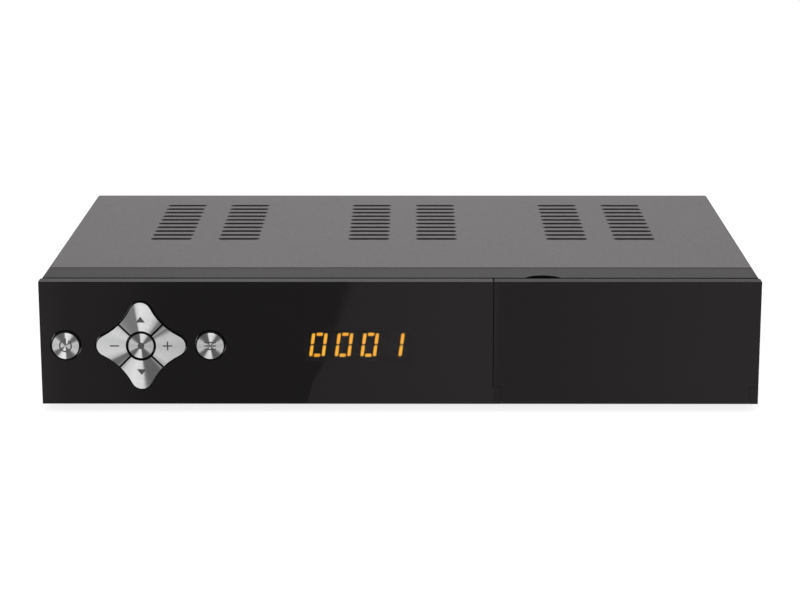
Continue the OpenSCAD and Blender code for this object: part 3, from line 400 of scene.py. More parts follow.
class Sketch(NodeTree):
    """A Geometry Nodes tree with named inputs, which ends as a plain mesh."""

    def __init__(self, name: str) -> None:
        """Starts a tree.

        Args:
            name: Name of the tree and of the piece.
        """
        super().__init__(bpy.data.node_groups.new(name, "GeometryNodeTree"))
        self.name = name
        for way in ("INPUT", "OUTPUT"):
            self.tree.interface.new_socket(
                "Geometry", in_out=way, socket_type="NodeSocketGeometry")
        self.given: dict[str, float] = {}
        self.entry = self.add("NodeGroupInput")

    def size(self, name: str, value: float) -> NodeSocket:
        """Adds a named input.

        Args:
            name: Name of the size.
            value: Its value in metres, or a count.

        Returns:
            The socket that gives it.
        """
        kind = "NodeSocketInt" if isinstance(value, int) else "NodeSocketFloat"
        self.tree.interface.new_socket(name, in_out="INPUT", socket_type=kind)
        self.given[name] = value
        return self.entry.outputs[name]

    def cube(self, x: object, y: object, z: object) -> NodeSocket:
        """Returns a box from its three sizes."""
        return self.add("GeometryNodeMeshCube", {"Size": self.vector(x, y, z)}).outputs[0]

    def circle(self, corners: int, radius: object) -> NodeSocket:
        """Returns a closed curve with a number of corners."""
        return self.add("GeometryNodeCurvePrimitiveCircle", {
            "Resolution": corners, "Radius": radius}).outputs[0]

    def line(self, start: Point3, end: Point3) -> NodeSocket:
        """Returns a straight curve between two points."""
        return self.add("GeometryNodeCurvePrimitiveLine", {
            "Start": start, "End": end}).outputs[0]

    def tube(self, path: NodeSocket, profile: NodeSocket, caps: bool = False) -> NodeSocket:
        """Returns a profile swept along a curve."""
        return self.add("GeometryNodeCurveToMesh", {
            "Curve": path, "Profile Curve": profile, "Fill Caps": caps}).outputs[0]

    def move(self, shape: NodeSocket, by: object, turn: Point3 = (0, 0, 0)) -> NodeSocket:
        """Returns a shape turned and then moved."""
        return self.add("GeometryNodeTransform", {
            "Geometry": shape, "Translation": by, "Rotation": turn}).outputs[0]

    def row(self, count: int, step: NodeSocket, start: NodeSocket) -> NodeSocket:
        """Returns a row of points from its count, step and start."""
        return self.add("GeometryNodeMeshLine", {
            "Count": count, "Offset": step, "Start Location": start}, mode="OFFSET").outputs[0]

    def repeat(self, points: NodeSocket, shape: NodeSocket, turn: object = (0, 0, 0),
               only: object = True) -> NodeSocket:
        """Sets a shape on points.

        Args:
            points: The points.
            shape: The shape.
            turn: Its turn, in radians.
            only: Which of the points take it.

        Returns:
            The shapes.
        """
        return self.add("GeometryNodeInstanceOnPoints", {
            "Points": points, "Instance": shape, "Rotation": turn,
            "Selection": only}).outputs[0]

    def join(self, *parts: NodeSocket) -> NodeSocket:
        """Returns several geometries as one."""
        return self.add("GeometryNodeJoinGeometry", {0: list(parts)}).outputs[0]

    def finish(self, shape: NodeSocket, material: Material) -> Object:
        """Realises the tree as a plain mesh object.

        Args:
            shape: Geometry that the tree ends in.
            material: Its finish.

        Returns:
            The object, without modifiers.
        """
        real = self.add("GeometryNodeRealizeInstances", {0: shape}).outputs[0]
        painted = self.add("GeometryNodeSetMaterial", {
            "Geometry": real, "Material": material}).outputs[0]
        self.tree.links.new(painted, self.add("NodeGroupOutput").inputs[0])
        piece = link(self.name, bpy.data.meshes.new(self.name))
        modifier = piece.modifiers.new(self.name, "NODES")
        modifier.node_group = self.tree
        for item in self.tree.interface.items_tree:
            if item.in_out == "INPUT" and item.name in self.given:
                modifier[item.identifier] = self.given[item.name]
        mesh = evaluated(piece)
        piece.modifiers.remove(modifier)
        piece.data = mesh
        bm = bmesh.new()
        bm.from_mesh(mesh)
        bmesh.ops.remove_doubles(bm, verts=bm.verts, dist=MERGE)
        bmesh.ops.recalc_face_normals(bm, faces=bm.faces)
        bm.to_mesh(mesh)
        bm.free()
        smooth(mesh)
        return piece


def four(colour: Colour) -> tuple[float, float, float, float]:
    """Returns a colour with its alpha of 1."""
    return (*colour, 1.0)


def even(level: float) -> Colour:
    """Returns a grey as a colour."""
    return (level, level, level)


def scaled(colour: Colour, by: float) -> Colour:
    """Returns a colour made brighter or darker."""
    return (colour[0] * by, colour[1] * by, colour[2] * by)


# ---------------------------------------------------------------- finishes

@dataclass(frozen=True)
class Finish:
    """A surface that becomes one material."""

    name: str

    def graph(self) -> Graph:
        """Returns the empty graph of a new material."""
        return Graph(bpy.data.materials.new(self.name))

    def make(self) -> Material:
        """Returns the finish as a material, in each kind of finish in its own way."""
        raise NotImplementedError


@dataclass(frozen=True)
class PowderCoat(Finish):
    """Baked powder paint on sheet steel: fine orange peel and a soft sheen."""

    colour: Colour
    roughness: float = 0.5
    grain: float = 1700.0
    shine: float = 0.4

    def make(self) -> Material:
        """Mottles the paint and gives it its peel.

        Returns:
            The material.
        """
        g = self.graph()
        at = g.place()
        peel = g.noise(at, self.grain, 3, 0.6)
        cloud = g.noise(at, 14, 2)
        tone = g.blend(g.vary(cloud), scaled(self.colour, 0.96), scaled(self.colour, 1.04))
        tone = g.blend(g.span(peel, 0.35, 0.65, 0, 0.5), tone, scaled(self.colour, 0.86))
        return g.surface(tone, g.vary(peel, self.roughness - 0.05, self.roughness + 0.07),
                         normal=g.bump(peel, 0.25, 0.06), Specular_IOR_Level=self.shine)


@dataclass(frozen=True)
class GlossPlastic(Finish):
    """Polished black moulding with hair-fine wiping marks."""

    colour: Colour
    shine: float = 0.1
    roughness: float = 0.07
    alpha: float = 1.0
    tint: Colour = (1.0, 0.915, 0.95)

    def make(self) -> Material:
        """Hazes the polish and wipes it.

        Returns:
            The material.
        """
        g = self.graph()
        wipe = g.noise(g.place((40, 40, 900)), 6, 4, 0.7)
        haze = g.noise(g.place(), 30, 2)
        rough = g.maths("ADD", g.vary(haze, self.roughness - 0.02, self.roughness + 0.02),
                        g.span(wipe, 0.55, 0.8, 0, 0.03))
        tone = g.blend(g.vary(haze), self.colour, scaled(self.colour, 1.15))
        return g.surface(tone, rough, Specular_IOR_Level=self.shine,
                         Specular_Tint=four(self.tint), Alpha=self.alpha)


@dataclass(frozen=True)
class MouldedPlastic(Finish):
    """Matt moulding with the fine spark-eroded grain of its tool."""

    colour: Colour
    roughness: float = 0.55
    grain: float = 2600.0
    depth: float = 0.02
    shine: float = 0.5
    # painted shade and painted highlight as bands: places along Y in millimetres, in order, with the tone there, and
    # the brightest tone
    bands: Sequence[Point] = ()
    brightest: float = 2.0

    def make(self) -> Material:
        """Mottles the plastic, grains it and lays its bands of painted shade and painted highlight over it.

        Returns:
            The material.
        """
        g = self.graph()
        at = g.place()
        grain = g.noise(at, self.grain, 2, 0.6)
        cloud = g.noise(at, 22, 2)
        tone = g.blend(g.vary(cloud), scaled(self.colour, 0.93), scaled(self.colour, 1.07))
        if self.bands:
            painted_band = g.levels(g.axes(at)[1], self.bands, self.brightest)
            tone = g.vectors("MULTIPLY", tone, painted_band)
            tone = g.vectors("MULTIPLY", tone, even(self.brightest))
        return g.surface(tone, g.vary(grain, self.roughness - 0.06, self.roughness + 0.06),
                         normal=g.bump(grain, 0.3, self.depth), Specular_IOR_Level=self.shine)


@dataclass(frozen=True)
class SpunMetal(Finish):
    """Aluminium turned on a lathe, with the light and dark wedges that its rings reflect painted into its colour round
    the middle: a painted reflection.
    """

    middle: Point
    # painted reflection: degrees from the right-hand side with the grey there, for the part of a turn that repeats
    wedges: Sequence[Point] = (
        (0, 0.32), (16, 0.36), (22, 0.33), (29, 0.14), (35, 0.09), (48, 0.09), (53, 0.17),
        (59, 0.38), (72, 0.52), (91, 0.52), (94, 0.22), (98, 0.09), (114, 0.075), (128, 0.085),
        (136, 0.15), (143, 0.32), (155, 0.37), (168, 0.33))
    # how often the painted wedges repeat in a turn, their turn in degrees, and the brightness of the painted
    # reflection
    repeats: int = 2
    turn: float = 0.0
    gain: float = 1.0

    def make(self) -> Material:
        """Paints the reflected wedges round the middle and turns the rings into them.

        Returns:
            The material.
        """
        g = self.graph()
        across, _, up = g.axes(g.place(middle=(self.middle[0] * MM, 0, self.middle[1] * MM)))
        flat = g.vector(across, up)
        radius = g.add("ShaderNodeVectorMath", {0: flat}, operation="LENGTH").outputs["Value"]
        angle = g.add("ShaderNodeTexGradient", {"Vector": flat},
                      gradient_type="RADIAL").outputs["Fac"]
        start = self.repeats * (1.5 - self.turn / 360)
        part = g.maths("FRACT", g.maths("MULTIPLY_ADD", angle, float(self.repeats), start))
        stops = [(degrees * self.repeats / 360, scaled((grey, grey, grey * 1.01), self.gain))
                 for degrees, grey in self.wedges]
        painted_wedge = g.ramp(part, [*stops, (1.0, stops[0][1])])
        around = g.vector(g.maths("MULTIPLY", radius, 9000.0), g.maths("MULTIPLY", angle, 5.0))
        rings = g.noise(around, 1.0, 4, 0.65)
        streaks = g.blend(g.vary(rings), even(0.80), even(1.18))
        return g.surface(g.vectors("MULTIPLY", painted_wedge, streaks), g.vary(rings, 0.26, 0.42), 1.0,
                         g.bump(rings, 0.35, 0.01))


@dataclass(frozen=True)
class PlainMetal(Finish):
    """Plated or bare metal, brushed along one axis where it was rolled."""

    colour: Colour
    roughness: float = 0.3
    brushed: Point3 = (60, 1200, 1200)
    streak: float = 0.14

    def make(self) -> Material:
        """Clouds the metal and brushes it.

        Returns:
            The material.
        """
        g = self.graph()
        lines = g.noise(g.place(self.brushed), 1.0, 4, 0.6)
        cloud = g.noise(g.place(), 40, 3)
        tone = g.blend(g.vary(cloud), scaled(self.colour, 1 - self.streak), self.colour)
        return g.surface(tone, g.vary(lines, self.roughness - 0.07, self.roughness + 0.09), 1.0,
                         g.bump(lines, 0.2, 0.01))


@dataclass(frozen=True)
class ZincSheet(Finish):
    """Galvanised sheet steel with its faint crystal spangle."""

    colour: Colour

    def make(self) -> Material:
        """Lays the crystals and the marks of rolling.

        Returns:
            The material.
        """
        g = self.graph()
        crystal = g.add("ShaderNodeTexVoronoi", {"Vector": g.place(), "Scale": 210.0})
        grey = g.channels(crystal.outputs["Color"])[0]
        tone = g.blend(grey, scaled(self.colour, 0.86), scaled(self.colour, 1.06))
        rolled = g.noise(g.place((40, 900, 900)), 1.0, 3)
        rough = g.maths("ADD", g.span(grey, 0, 1, 0.3, 0.42), g.vary(rolled, 0, 0.06))
        return g.surface(tone, rough, 1.0, g.bump(rolled, 0.15, 0.01))


@dataclass(frozen=True)
class CircuitBoard(Finish):
    """Lacquered laminate with copper runs under the mask and tinned pads."""

    lacquer: Colour
    copper: Colour
    upright: bool = False
    tinned: Colour = (0.55, 0.55, 0.53)

    def make(self) -> Material:
        """Parts the board into lots, each with runs one way, and sets pads between them.

        Returns:
            The material.
        """
        g = self.graph()
        at = g.place(turn=(math.pi / 2, 0, 0) if self.upright else (0, 0, 0))
        lots = g.add("ShaderNodeTexVoronoi", {"Vector": at, "Scale": 55.0}, distance="CHEBYCHEV")
        way, filled, padded = g.channels(lots.outputs["Color"])
        runs = []
        for along in g.axes(at)[:2]:
            wave = g.maths("PINGPONG", g.maths("MULTIPLY", along, 560.0), 0.5)
            runs.append(g.maths("GREATER_THAN", wave, 0.3))
        run = g.add("ShaderNodeMix", {0: g.maths("GREATER_THAN", way, 0.5), 2: runs[0],
                                      3: runs[1]}, data_type="FLOAT").outputs[0]
        there = g.maths("MULTIPLY", run, g.maths("GREATER_THAN", filled, 0.35))
        dots = g.add("ShaderNodeTexVoronoi", {"Vector": at, "Scale": 330.0, "Randomness": 0.35})
        pad = g.maths("MULTIPLY", g.maths("LESS_THAN", dots.outputs["Distance"], 0.2),
                      g.maths("GREATER_THAN", padded, 0.55))
        tone = g.blend(g.maths("MULTIPLY", there, 0.75), self.lacquer, self.copper)
        tone = g.blend(pad, tone, self.tinned)
        height = g.maths("ADD", g.maths("MULTIPLY", there, 0.5), pad)
        return g.surface(tone, g.span(pad, 0, 1, 0.32, 0.25), normal=g.bump(height, 0.5, 0.05))


@dataclass(frozen=True)
class SleevedCan(Finish):
    """Electrolytic capacitor: a printed sleeve round a bare scored top."""

    sleeve: Colour
    stripe: Colour = (0.45, 0.46, 0.47)
    top: Colour = (0.55, 0.55, 0.56)

    def make(self) -> Material:
        """Tells the sleeve, its stripe and the top apart by the way they face.

        Returns:
            The material.
        """
        g = self.graph()
        east, _, up = g.axes(g.add("ShaderNodeNewGeometry").outputs["Normal"])
        sleeve = g.blend(g.maths("GREATER_THAN", east, 0.86), self.sleeve, self.stripe)
        tone = g.blend(g.maths("GREATER_THAN", up, 0.9), sleeve, self.top)
        fine = g.noise(g.place(), 900, 2)
        return g.surface(tone, g.vary(fine, 0.26, 0.36), normal=g.bump(fine, 0.2, 0.01))


@dataclass(frozen=True)
class JackPlastic(Finish):
    """Black jack block whose three barrels are moulded in their own colours."""

    # outside of the rear wall along Y, and the two places along X between the barrels
    wall: float
    edges: Point
    colours: tuple[Colour, Colour, Colour]
    block: Colour = (0.02, 0.02, 0.021)

    def make(self) -> Material:
        """Colours the barrels outside the wall, and leaves the block inside it black.

        Returns:
            The material.
        """
        g = self.graph()
        across, back, _ = g.axes(g.place())
        barrel = self.colours[0]
        for edge, colour in zip(self.edges, self.colours[1:]):
            barrel = g.blend(g.maths("GREATER_THAN", across, edge * MM), barrel, colour)
        tone = g.blend(g.maths("GREATER_THAN", back, self.wall * MM), self.block, barrel)
        fine = g.noise(g.place(), 1500, 2)
        return g.surface(tone, g.vary(fine, 0.34, 0.46), normal=g.bump(fine, 0.2, 0.02))


@dataclass(frozen=True)
class LitStroke(Finish):
    """Glowing segment, hotter in some places than in others."""

    colour: Colour
    strength: float

    def make(self) -> Material:
        """Lets the glow waver between the colour and a paler one.

        Returns:
            The material.
        """
        g = self.graph()
        red, green, blue = self.colour
        uneven = g.span(g.noise(g.place(), 420, 2), 0.35, 0.65)
        glow = g.blend(uneven, self.colour, (red, green * 1.25, blue * 2.0))
        return g.surface(self.colour, 0.4, Emission_Color=glow, Emission_Strength=self.strength)


# ---------------------------------------------------------------- meshes

class Bevel(Enum):
    """Edge roundings of the dressed copies, in millimetres, with their segments."""

    HAIR = (0.08, 1)
    FINE = (0.15, 2)
    SOFT = (0.35, 3)


class Axis(Enum):
    """Axis of a turned piece."""

    BACK = "along Y"
    UP = "along Z"


def near(value: float, place: float, within: float = 0.01) -> bool:
    """Returns whether a coordinate in metres is at a place in millimetres."""
    return abs(value / MM - place) < within


def inside(area: Area, x: float, y: float) -> bool:
    """Returns whether a point lies in an area of low x, high x, low y and high y."""
    return area[0] < x < area[1] and area[2] < y < area[3]


def link(name: str, mesh: Mesh, *finishes: Material) -> Object:
    """Puts a mesh into the scene.

    Args:
        name: Name of the new object.
        mesh: Its mesh, already in place.
        *finishes: Materials that the mesh still lacks.

    Returns:
        The new object.
    """
    for finish in finishes:
        mesh.materials.append(finish)
    piece = bpy.data.objects.new(name, mesh)
    bpy.context.scene.collection.objects.link(piece)
    return piece


def evaluated(piece: Object) -> Mesh:
    """Returns a new mesh with what the piece's modifiers make of it."""
    graph = bpy.context.evaluated_depsgraph_get()
    return bpy.data.meshes.new_from_object(piece.evaluated_get(graph))


def smooth(mesh: Mesh, degrees: float = 34.0) -> None:
    """Shades a mesh smooth, with sharp edges past an angle in degrees."""
    mesh.shade_smooth()
    mesh.set_sharp_from_angle(angle=math.radians(degrees))


def fix(piece: Object, body: str, slot: str, nodes: Sequence[str] = ()) -> Object:
    """Says which body a piece rides on, which slot it takes and which nodes it stands for.

    Args:
        piece: The finished piece.
        body: Body of the frame.
        slot: Material slot of the record.
        nodes: Nodes that it replaces.

    Returns:
        The piece.
    """
    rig.ride(piece, body)
    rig.slot(piece, slot)
    if nodes:
        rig.replaces(piece, *nodes)
    log.info("%s rides on %s: %d faces, slot %s", piece.name, body, len(piece.data.polygons),
             slot)
    return piece


def merged(node: str) -> BMesh:
    """A CAD node's mesh with its doubles merged and its flat faces joined.

    Args:
        node: Name of the node.

    Returns:
        A new BMesh.
    """
    bm = bmesh.new()
    bm.from_mesh(frame["nodes"][node].data)
    bmesh.ops.remove_doubles(bm, verts=bm.verts, dist=MERGE)
    bmesh.ops.dissolve_degenerate(bm, dist=MERGE, edges=bm.edges)
    bmesh.ops.dissolve_limit(bm, angle_limit=math.radians(0.3), verts=bm.verts, edges=bm.edges,
                             use_dissolve_boundaries=False)
    return bm


def bevel_edges(bm: BMesh, edges: Sequence[BMEdge], width: float, segments: int) -> None:
    """Rounds edges of a mesh.

    Args:
        bm: The mesh.
        edges: The edges.
        width: Width of the rounding, in millimetres.
        segments: Faces across it.
    """
    bmesh.ops.bevel(bm, geom=edges, offset=width * MM, offset_type="OFFSET", segments=segments,
                    profile=0.5, clamp_overlap=True, affect="EDGES")


def repaint(mesh: Mesh, finish: Material, rule: Callable[[Vector, Vector], bool]) -> None:
    """Gives some faces of a mesh another finish.

    Args:
        mesh: The mesh.
        finish: The other finish.
        rule: Says from a face's middle, in millimetres, and its normal whether it takes it.
    """
    mesh.materials.append(finish)
    for face in mesh.polygons:
        if rule(face.center / MM, face.normal):
            face.material_index = len(mesh.materials) - 1


def to_mesh(bm: BMesh, name: str, degrees: float = 34.0) -> Mesh:
    """Ends a BMesh as a shaded mesh whose flat faces stay flat next to rounded edges.

    Args:
        bm: The mesh in work, which is freed.
        name: Name of the mesh.
        degrees: Angle past which an edge is sharp.

    Returns:
        The mesh.
    """
    rough = bpy.data.meshes.new(name + "_rough")
    bm.to_mesh(rough)
    bm.free()
    smooth(rough, degrees)
    holder = link(name + "_holder", rough)
    weigh = holder.modifiers.new("weigh", "WEIGHTED_NORMAL")
    weigh.mode = "FACE_AREA"
    weigh.keep_sharp = True
    mesh = evaluated(holder)
    bpy.data.objects.remove(holder)
    bpy.data.meshes.remove(rough)
    mesh.name = name
    return mesh


def lathe(profile: Sequence[Point], middle: Point3, axis: Axis, steps: int = 48) -> BMesh:
    """Turns a closed profile round an axis.

    Args:
        profile: Points as radius and place along the axis, in millimetres.
        middle: Point on the axis, in millimetres.
        axis: The axis.
        steps: Faces in a turn.

    Returns:
        The turned mesh.
    """
    bm = bmesh.new()
    rings = []
    for i in range(steps):
        angle = math.tau * i / steps
        ring = []
        for radius, along in profile:
            across, up = radius * math.cos(angle), radius * math.sin(angle)
            spot = (across, along, up) if axis is Axis.BACK else (across, up, along)
            ring.append(bm.verts.new((Vector(spot) + Vector(middle)) * MM))
        rings.append(ring)
    count = len(profile)
    for i, here in enumerate(rings):
        there = rings[(i + 1) % steps]
        for j in range(count):
            k = (j + 1) % count
            bm.faces.new((here[j], here[k], there[k], there[j]))
    bmesh.ops.remove_doubles(bm, verts=bm.verts, dist=2 * MERGE)
    bmesh.ops.dissolve_degenerate(bm, dist=MERGE, edges=bm.edges)
    bmesh.ops.recalc_face_normals(bm, faces=bm.faces)
    return bm


# ---------------------------------------------------------------- palette

FINISHES: dict[str, Finish] = {finish.name: finish for finish in (
    PowderCoat("cover_paint", (0.082, 0.075, 0.077), shine=0.1),
    # a darker copy of the cover paint for the slots' cut walls: painted shade
    PowderCoat("slot_wall_painted_shade", (0.046, 0.042, 0.043), shine=0.05),
    # the frame's bands paint a shade line along the ledge's front edge, then painted shade and a painted highlight
    # towards the cover
    MouldedPlastic("frame_plastic", (0.0358, 0.0328, 0.0338), 0.5, shine=0.03, bands=(
        (-77.95, 0.4), (-77.2, 0.4), (-77.05, 1.0), (-66.0, 1.0), (-64.2, 0.9), (-63.0, 0.95),
        (-62.0, 1.15), (-61.2, 1.4))),
    MouldedPlastic("panel_edge", (0.033, 0.031, 0.0317), 0.45, shine=0.033),
    # a darker copy of panel_edge for the door's top edge: painted shade
    MouldedPlastic("door_edge_painted_shade", (0.026, 0.025, 0.0252), 0.45, shine=0.022),
    # near-black finish for the notch, the shadow gap and the keys' hole walls: painted shade
    MouldedPlastic("painted_shade_black", (0.006, 0.0055, 0.0057), 0.6, shine=0.02),
    GlossPlastic("gloss_black", (0.0042, 0.0038, 0.0041), 0.085),
    GlossPlastic("smoked_window", (0.0084, 0.0076, 0.0082), 0.17, alpha=0.5),
    GlossPlastic("window_back", (0.004, 0.004, 0.004), 0.0, 0.5, 0.06),
    # the spun keys carry wedges of painted reflection, made brighter or darker key by key
    SpunMetal("spun_ok", PAD_MIDDLE, turn=1.0, gain=0.9),
    SpunMetal("spun_pad", PAD_MIDDLE, (
        (0, 0.35), (14, 0.39), (24, 0.35), (30, 0.17), (34, 0.11), (38, 0.24), (42, 0.11),
        (52, 0.12), (58, 0.30), (67, 0.45), (90, 0.51), (96, 0.42), (99, 0.12), (118, 0.12),
        (134, 0.16), (141, 0.36), (153, 0.41), (168, 0.34), (194, 0.39), (203, 0.30),
        (208, 0.09), (218, 0.09), (227, 0.20), (234, 0.38), (256, 0.49), (272, 0.46),
        (277, 0.14), (282, 0.085), (306, 0.085), (316, 0.26), (328, 0.42)), 1),
    SpunMetal("spun_power", POWER_MIDDLE, turn=-2.0, gain=0.85),
    SpunMetal("spun_menu", MENU_MIDDLE, turn=6.0, gain=1.02),
    # dark finish for the keys' sides: painted shade
    MouldedPlastic("key_side", (0.01, 0.01, 0.0103), 0.6, shine=0.03),
    MouldedPlastic("key_print", (0.035, 0.035, 0.037), 0.5),
    ZincSheet("zinc_steel", (0.55, 0.56, 0.57)),
    PlainMetal("black_screws", (0.05, 0.05, 0.052), 0.38),
    PlainMetal("steel_screws", (0.6, 0.6, 0.59)),
    MouldedPlastic("foot_rubber", (0.02, 0.02, 0.02), 0.8, 1400, 0.05, 0.3),
    MouldedPlastic("black_plastic", (0.02, 0.02, 0.022), 0.45),
    CircuitBoard("board_green", (0.012, 0.11, 0.04), (0.03, 0.2, 0.07)),
    CircuitBoard("board_front", (0.012, 0.11, 0.04), (0.03, 0.2, 0.07), True),
    CircuitBoard("board_tan", (0.42, 0.27, 0.1), (0.5, 0.36, 0.16)),
    GlossPlastic("display_black", (0.001, 0.001, 0.001), 0.0, 0.5),
    LitStroke("digit_amber", (1.0, 0.42, 0.014), 1.7),
    MouldedPlastic("digit_dark", (0.008, 0.007, 0.006), 0.5, shine=0.1),
    GlossPlastic("eye_dark", (0.015, 0.01, 0.015), 0.5, 0.12),
    MouldedPlastic("ivory_plastic", (0.75, 0.72, 0.62), 0.45),
    MouldedPlastic("ribbon_grey", (0.5, 0.51, 0.53), 0.5),
    PlainMetal("tin_can", (0.6, 0.6, 0.6)),
    PlainMetal("nickel", (0.72, 0.71, 0.68), 0.2),
    MouldedPlastic("chip_black", (0.015, 0.015, 0.016), 0.5, 4000),
    PlainMetal("sink_dark", (0.05, 0.05, 0.055), 0.45),
    PlainMetal("sink_bare", (0.6, 0.6, 0.62), 0.35),
    SleevedCan("can_sleeve", (0.02, 0.022, 0.03)),
    MouldedPlastic("part_grey", (0.25, 0.25, 0.26), 0.5),
    MouldedPlastic("winding", (0.5, 0.32, 0.06), 0.4, 900),
    MouldedPlastic("ferrite", (0.06, 0.055, 0.05), 0.7, 1500, 0.05),
    MouldedPlastic("wire_red", (0.4, 0.03, 0.02), 0.4),
    PlainMetal("copper_wire", (0.72, 0.32, 0.14)),
    JackPlastic("jack_plastic", 74.85, (-16.9, -3.9), (
        (0.55, 0.02, 0.015), (0.75, 0.75, 0.73), (0.8, 0.55, 0.02))),
    MouldedPlastic("dielectric", (0.8, 0.8, 0.77), 0.4),
)}


class Palette:
    """Makes each finish once and hands it out by name."""

    def __init__(self) -> None:
        """Starts with no material made."""
        self.made: dict[str, Material] = {}

    def get(self, name: str) -> Material:
        """Makes a finish where it isn't made yet.

        Args:
            name: The finish's name.

        Returns:
            Its material.
        """
        if name not in self.made:
            self.made[name] = FINISHES[name].make()
        return self.made[name]


# ---------------------------------------------------------------- the receiver's pieces

@dataclass
class Dressed:
    """A CAD node shown by a copy with rounded edges."""

    node: str
    finish: str
    bevel: Bevel = Bevel.FINE
    # smallest angle between two faces that counts as an edge, in degrees
    least: float = 28.0
    body: str = CASE
    # the record's slot, where it isn't named as the finish is
    slot: str = ""

    def build(self, palette: Palette) -> Object:
        """Makes the copy and dresses it.

        Args:
            palette: The finishes.

        Returns:
            The piece.
        """
        bm = merged(self.node)
        self.shape(bm)
        least = math.radians(self.least)
        sharp = [e for e in bm.edges if len(e.link_faces) == 2 and e.calc_face_angle(0) > least]
        bevel_edges(bm, sharp, *self.bevel.value)
        name = self.node + "_dressed"
        piece = link(name, to_mesh(bm, name, 50), palette.get(self.finish))
        self.paint(piece.data, palette)
        return fix(piece, self.body, self.slot or self.finish, [self.node])

    def shape(self, bm: BMesh) -> None:
        """Changes the merged mesh before its edges are rounded."""

    def paint(self, mesh: Mesh, palette: Palette) -> None:
        """Adds further finishes to the dressed mesh."""


@dataclass
class Cover(Dressed):
    """Painted sheet cover, which closes up to the ledge."""

    edge: float = -60.95
    closer: float = 0.2
    # where the slots lie, seen from above, and a height between the sheet's two sides
    slots: Area = (-120.0, 120.0, -55.0, 72.0)
    sheet: float = 47.7

    def shape(self, bm: BMesh) -> None:
        """Narrows the joint in front of the cover.

        Args:
            bm: The merged mesh.
        """
        for v in bm.verts:
            if near(v.co.y, self.edge):
                v.co.y -= self.closer * MM

    def paint(self, mesh: Mesh, palette: Palette) -> None:
        """Gives the slots' cut edges a darker copy of the paint, as painted shade inside the slots."""
        repaint(mesh, palette.get("slot_wall_painted_shade"), lambda at, n: (
            at.z > self.sheet and abs(n.z) < 0.9 and inside(self.slots, at.x, at.y)))


@dataclass
class FrontFrame(Dressed):
    """Plastic frame behind the panel, rounded like the cover and glossy where it shows."""

    side: float = 130.0
    fold: float = 1.2
    # back of the hinge ear, and the ear's inner side
    front: float = -78.6
    ear: float = 127.0
    # bottom of the shadow gap behind the panel
    gap: float = -77.95
    notch: Point = (51.7, -81.23)
    notch_radius: float = 7.28
    notch_low: float = 43.0

    def shape(self, bm: BMesh) -> None:
        """Rounds the ledge's sides as the cover's folds are, and narrows the ear's joint.

        Args:
            bm: The merged mesh.
        """
        swell_knuckle(bm, self.ear, self.side)
        for v in bm.verts:
            if v.co.y / MM < self.front and near(v.co.x, self.ear, 0.05):
                v.co.x -= JOINT_CLOSER * MM
        bevel_edges(bm, [e for e in bm.edges if all(
            near(abs(v.co.x), self.side) and near(v.co.z, PANEL_TOP) for v in e.verts)],
            self.fold, 5)

    def paint(self, mesh: Mesh, palette: Palette) -> None:
        """Gives the ear the panel's gloss, and paints shade inside the notch and the gap.

        Args:
            mesh: The dressed mesh.
            palette: The finishes.
        """
        repaint(mesh, palette.get("gloss_black"), lambda at, n: at.y < self.front)
        repaint(mesh, palette.get("painted_shade_black"), lambda at, n: (
            at.y >= self.front and (self.in_gap(at, n) or self.in_notch(at, n))))

    def in_gap(self, at: Vector, normal: Vector) -> bool:
        """Returns whether a face is the bottom of the gap behind the panel."""
        return abs(at.y - self.gap) < 0.12 and normal.y < -0.3

    def in_notch(self, at: Vector, normal: Vector) -> bool:
        """Returns whether a face is the floor or the wall of the finger notch."""
        reach = math.hypot(at.x - self.notch[0], at.y - self.notch[1])
        return reach < self.notch_radius + 0.03 and at.z > self.notch_low and normal.z < 0.5


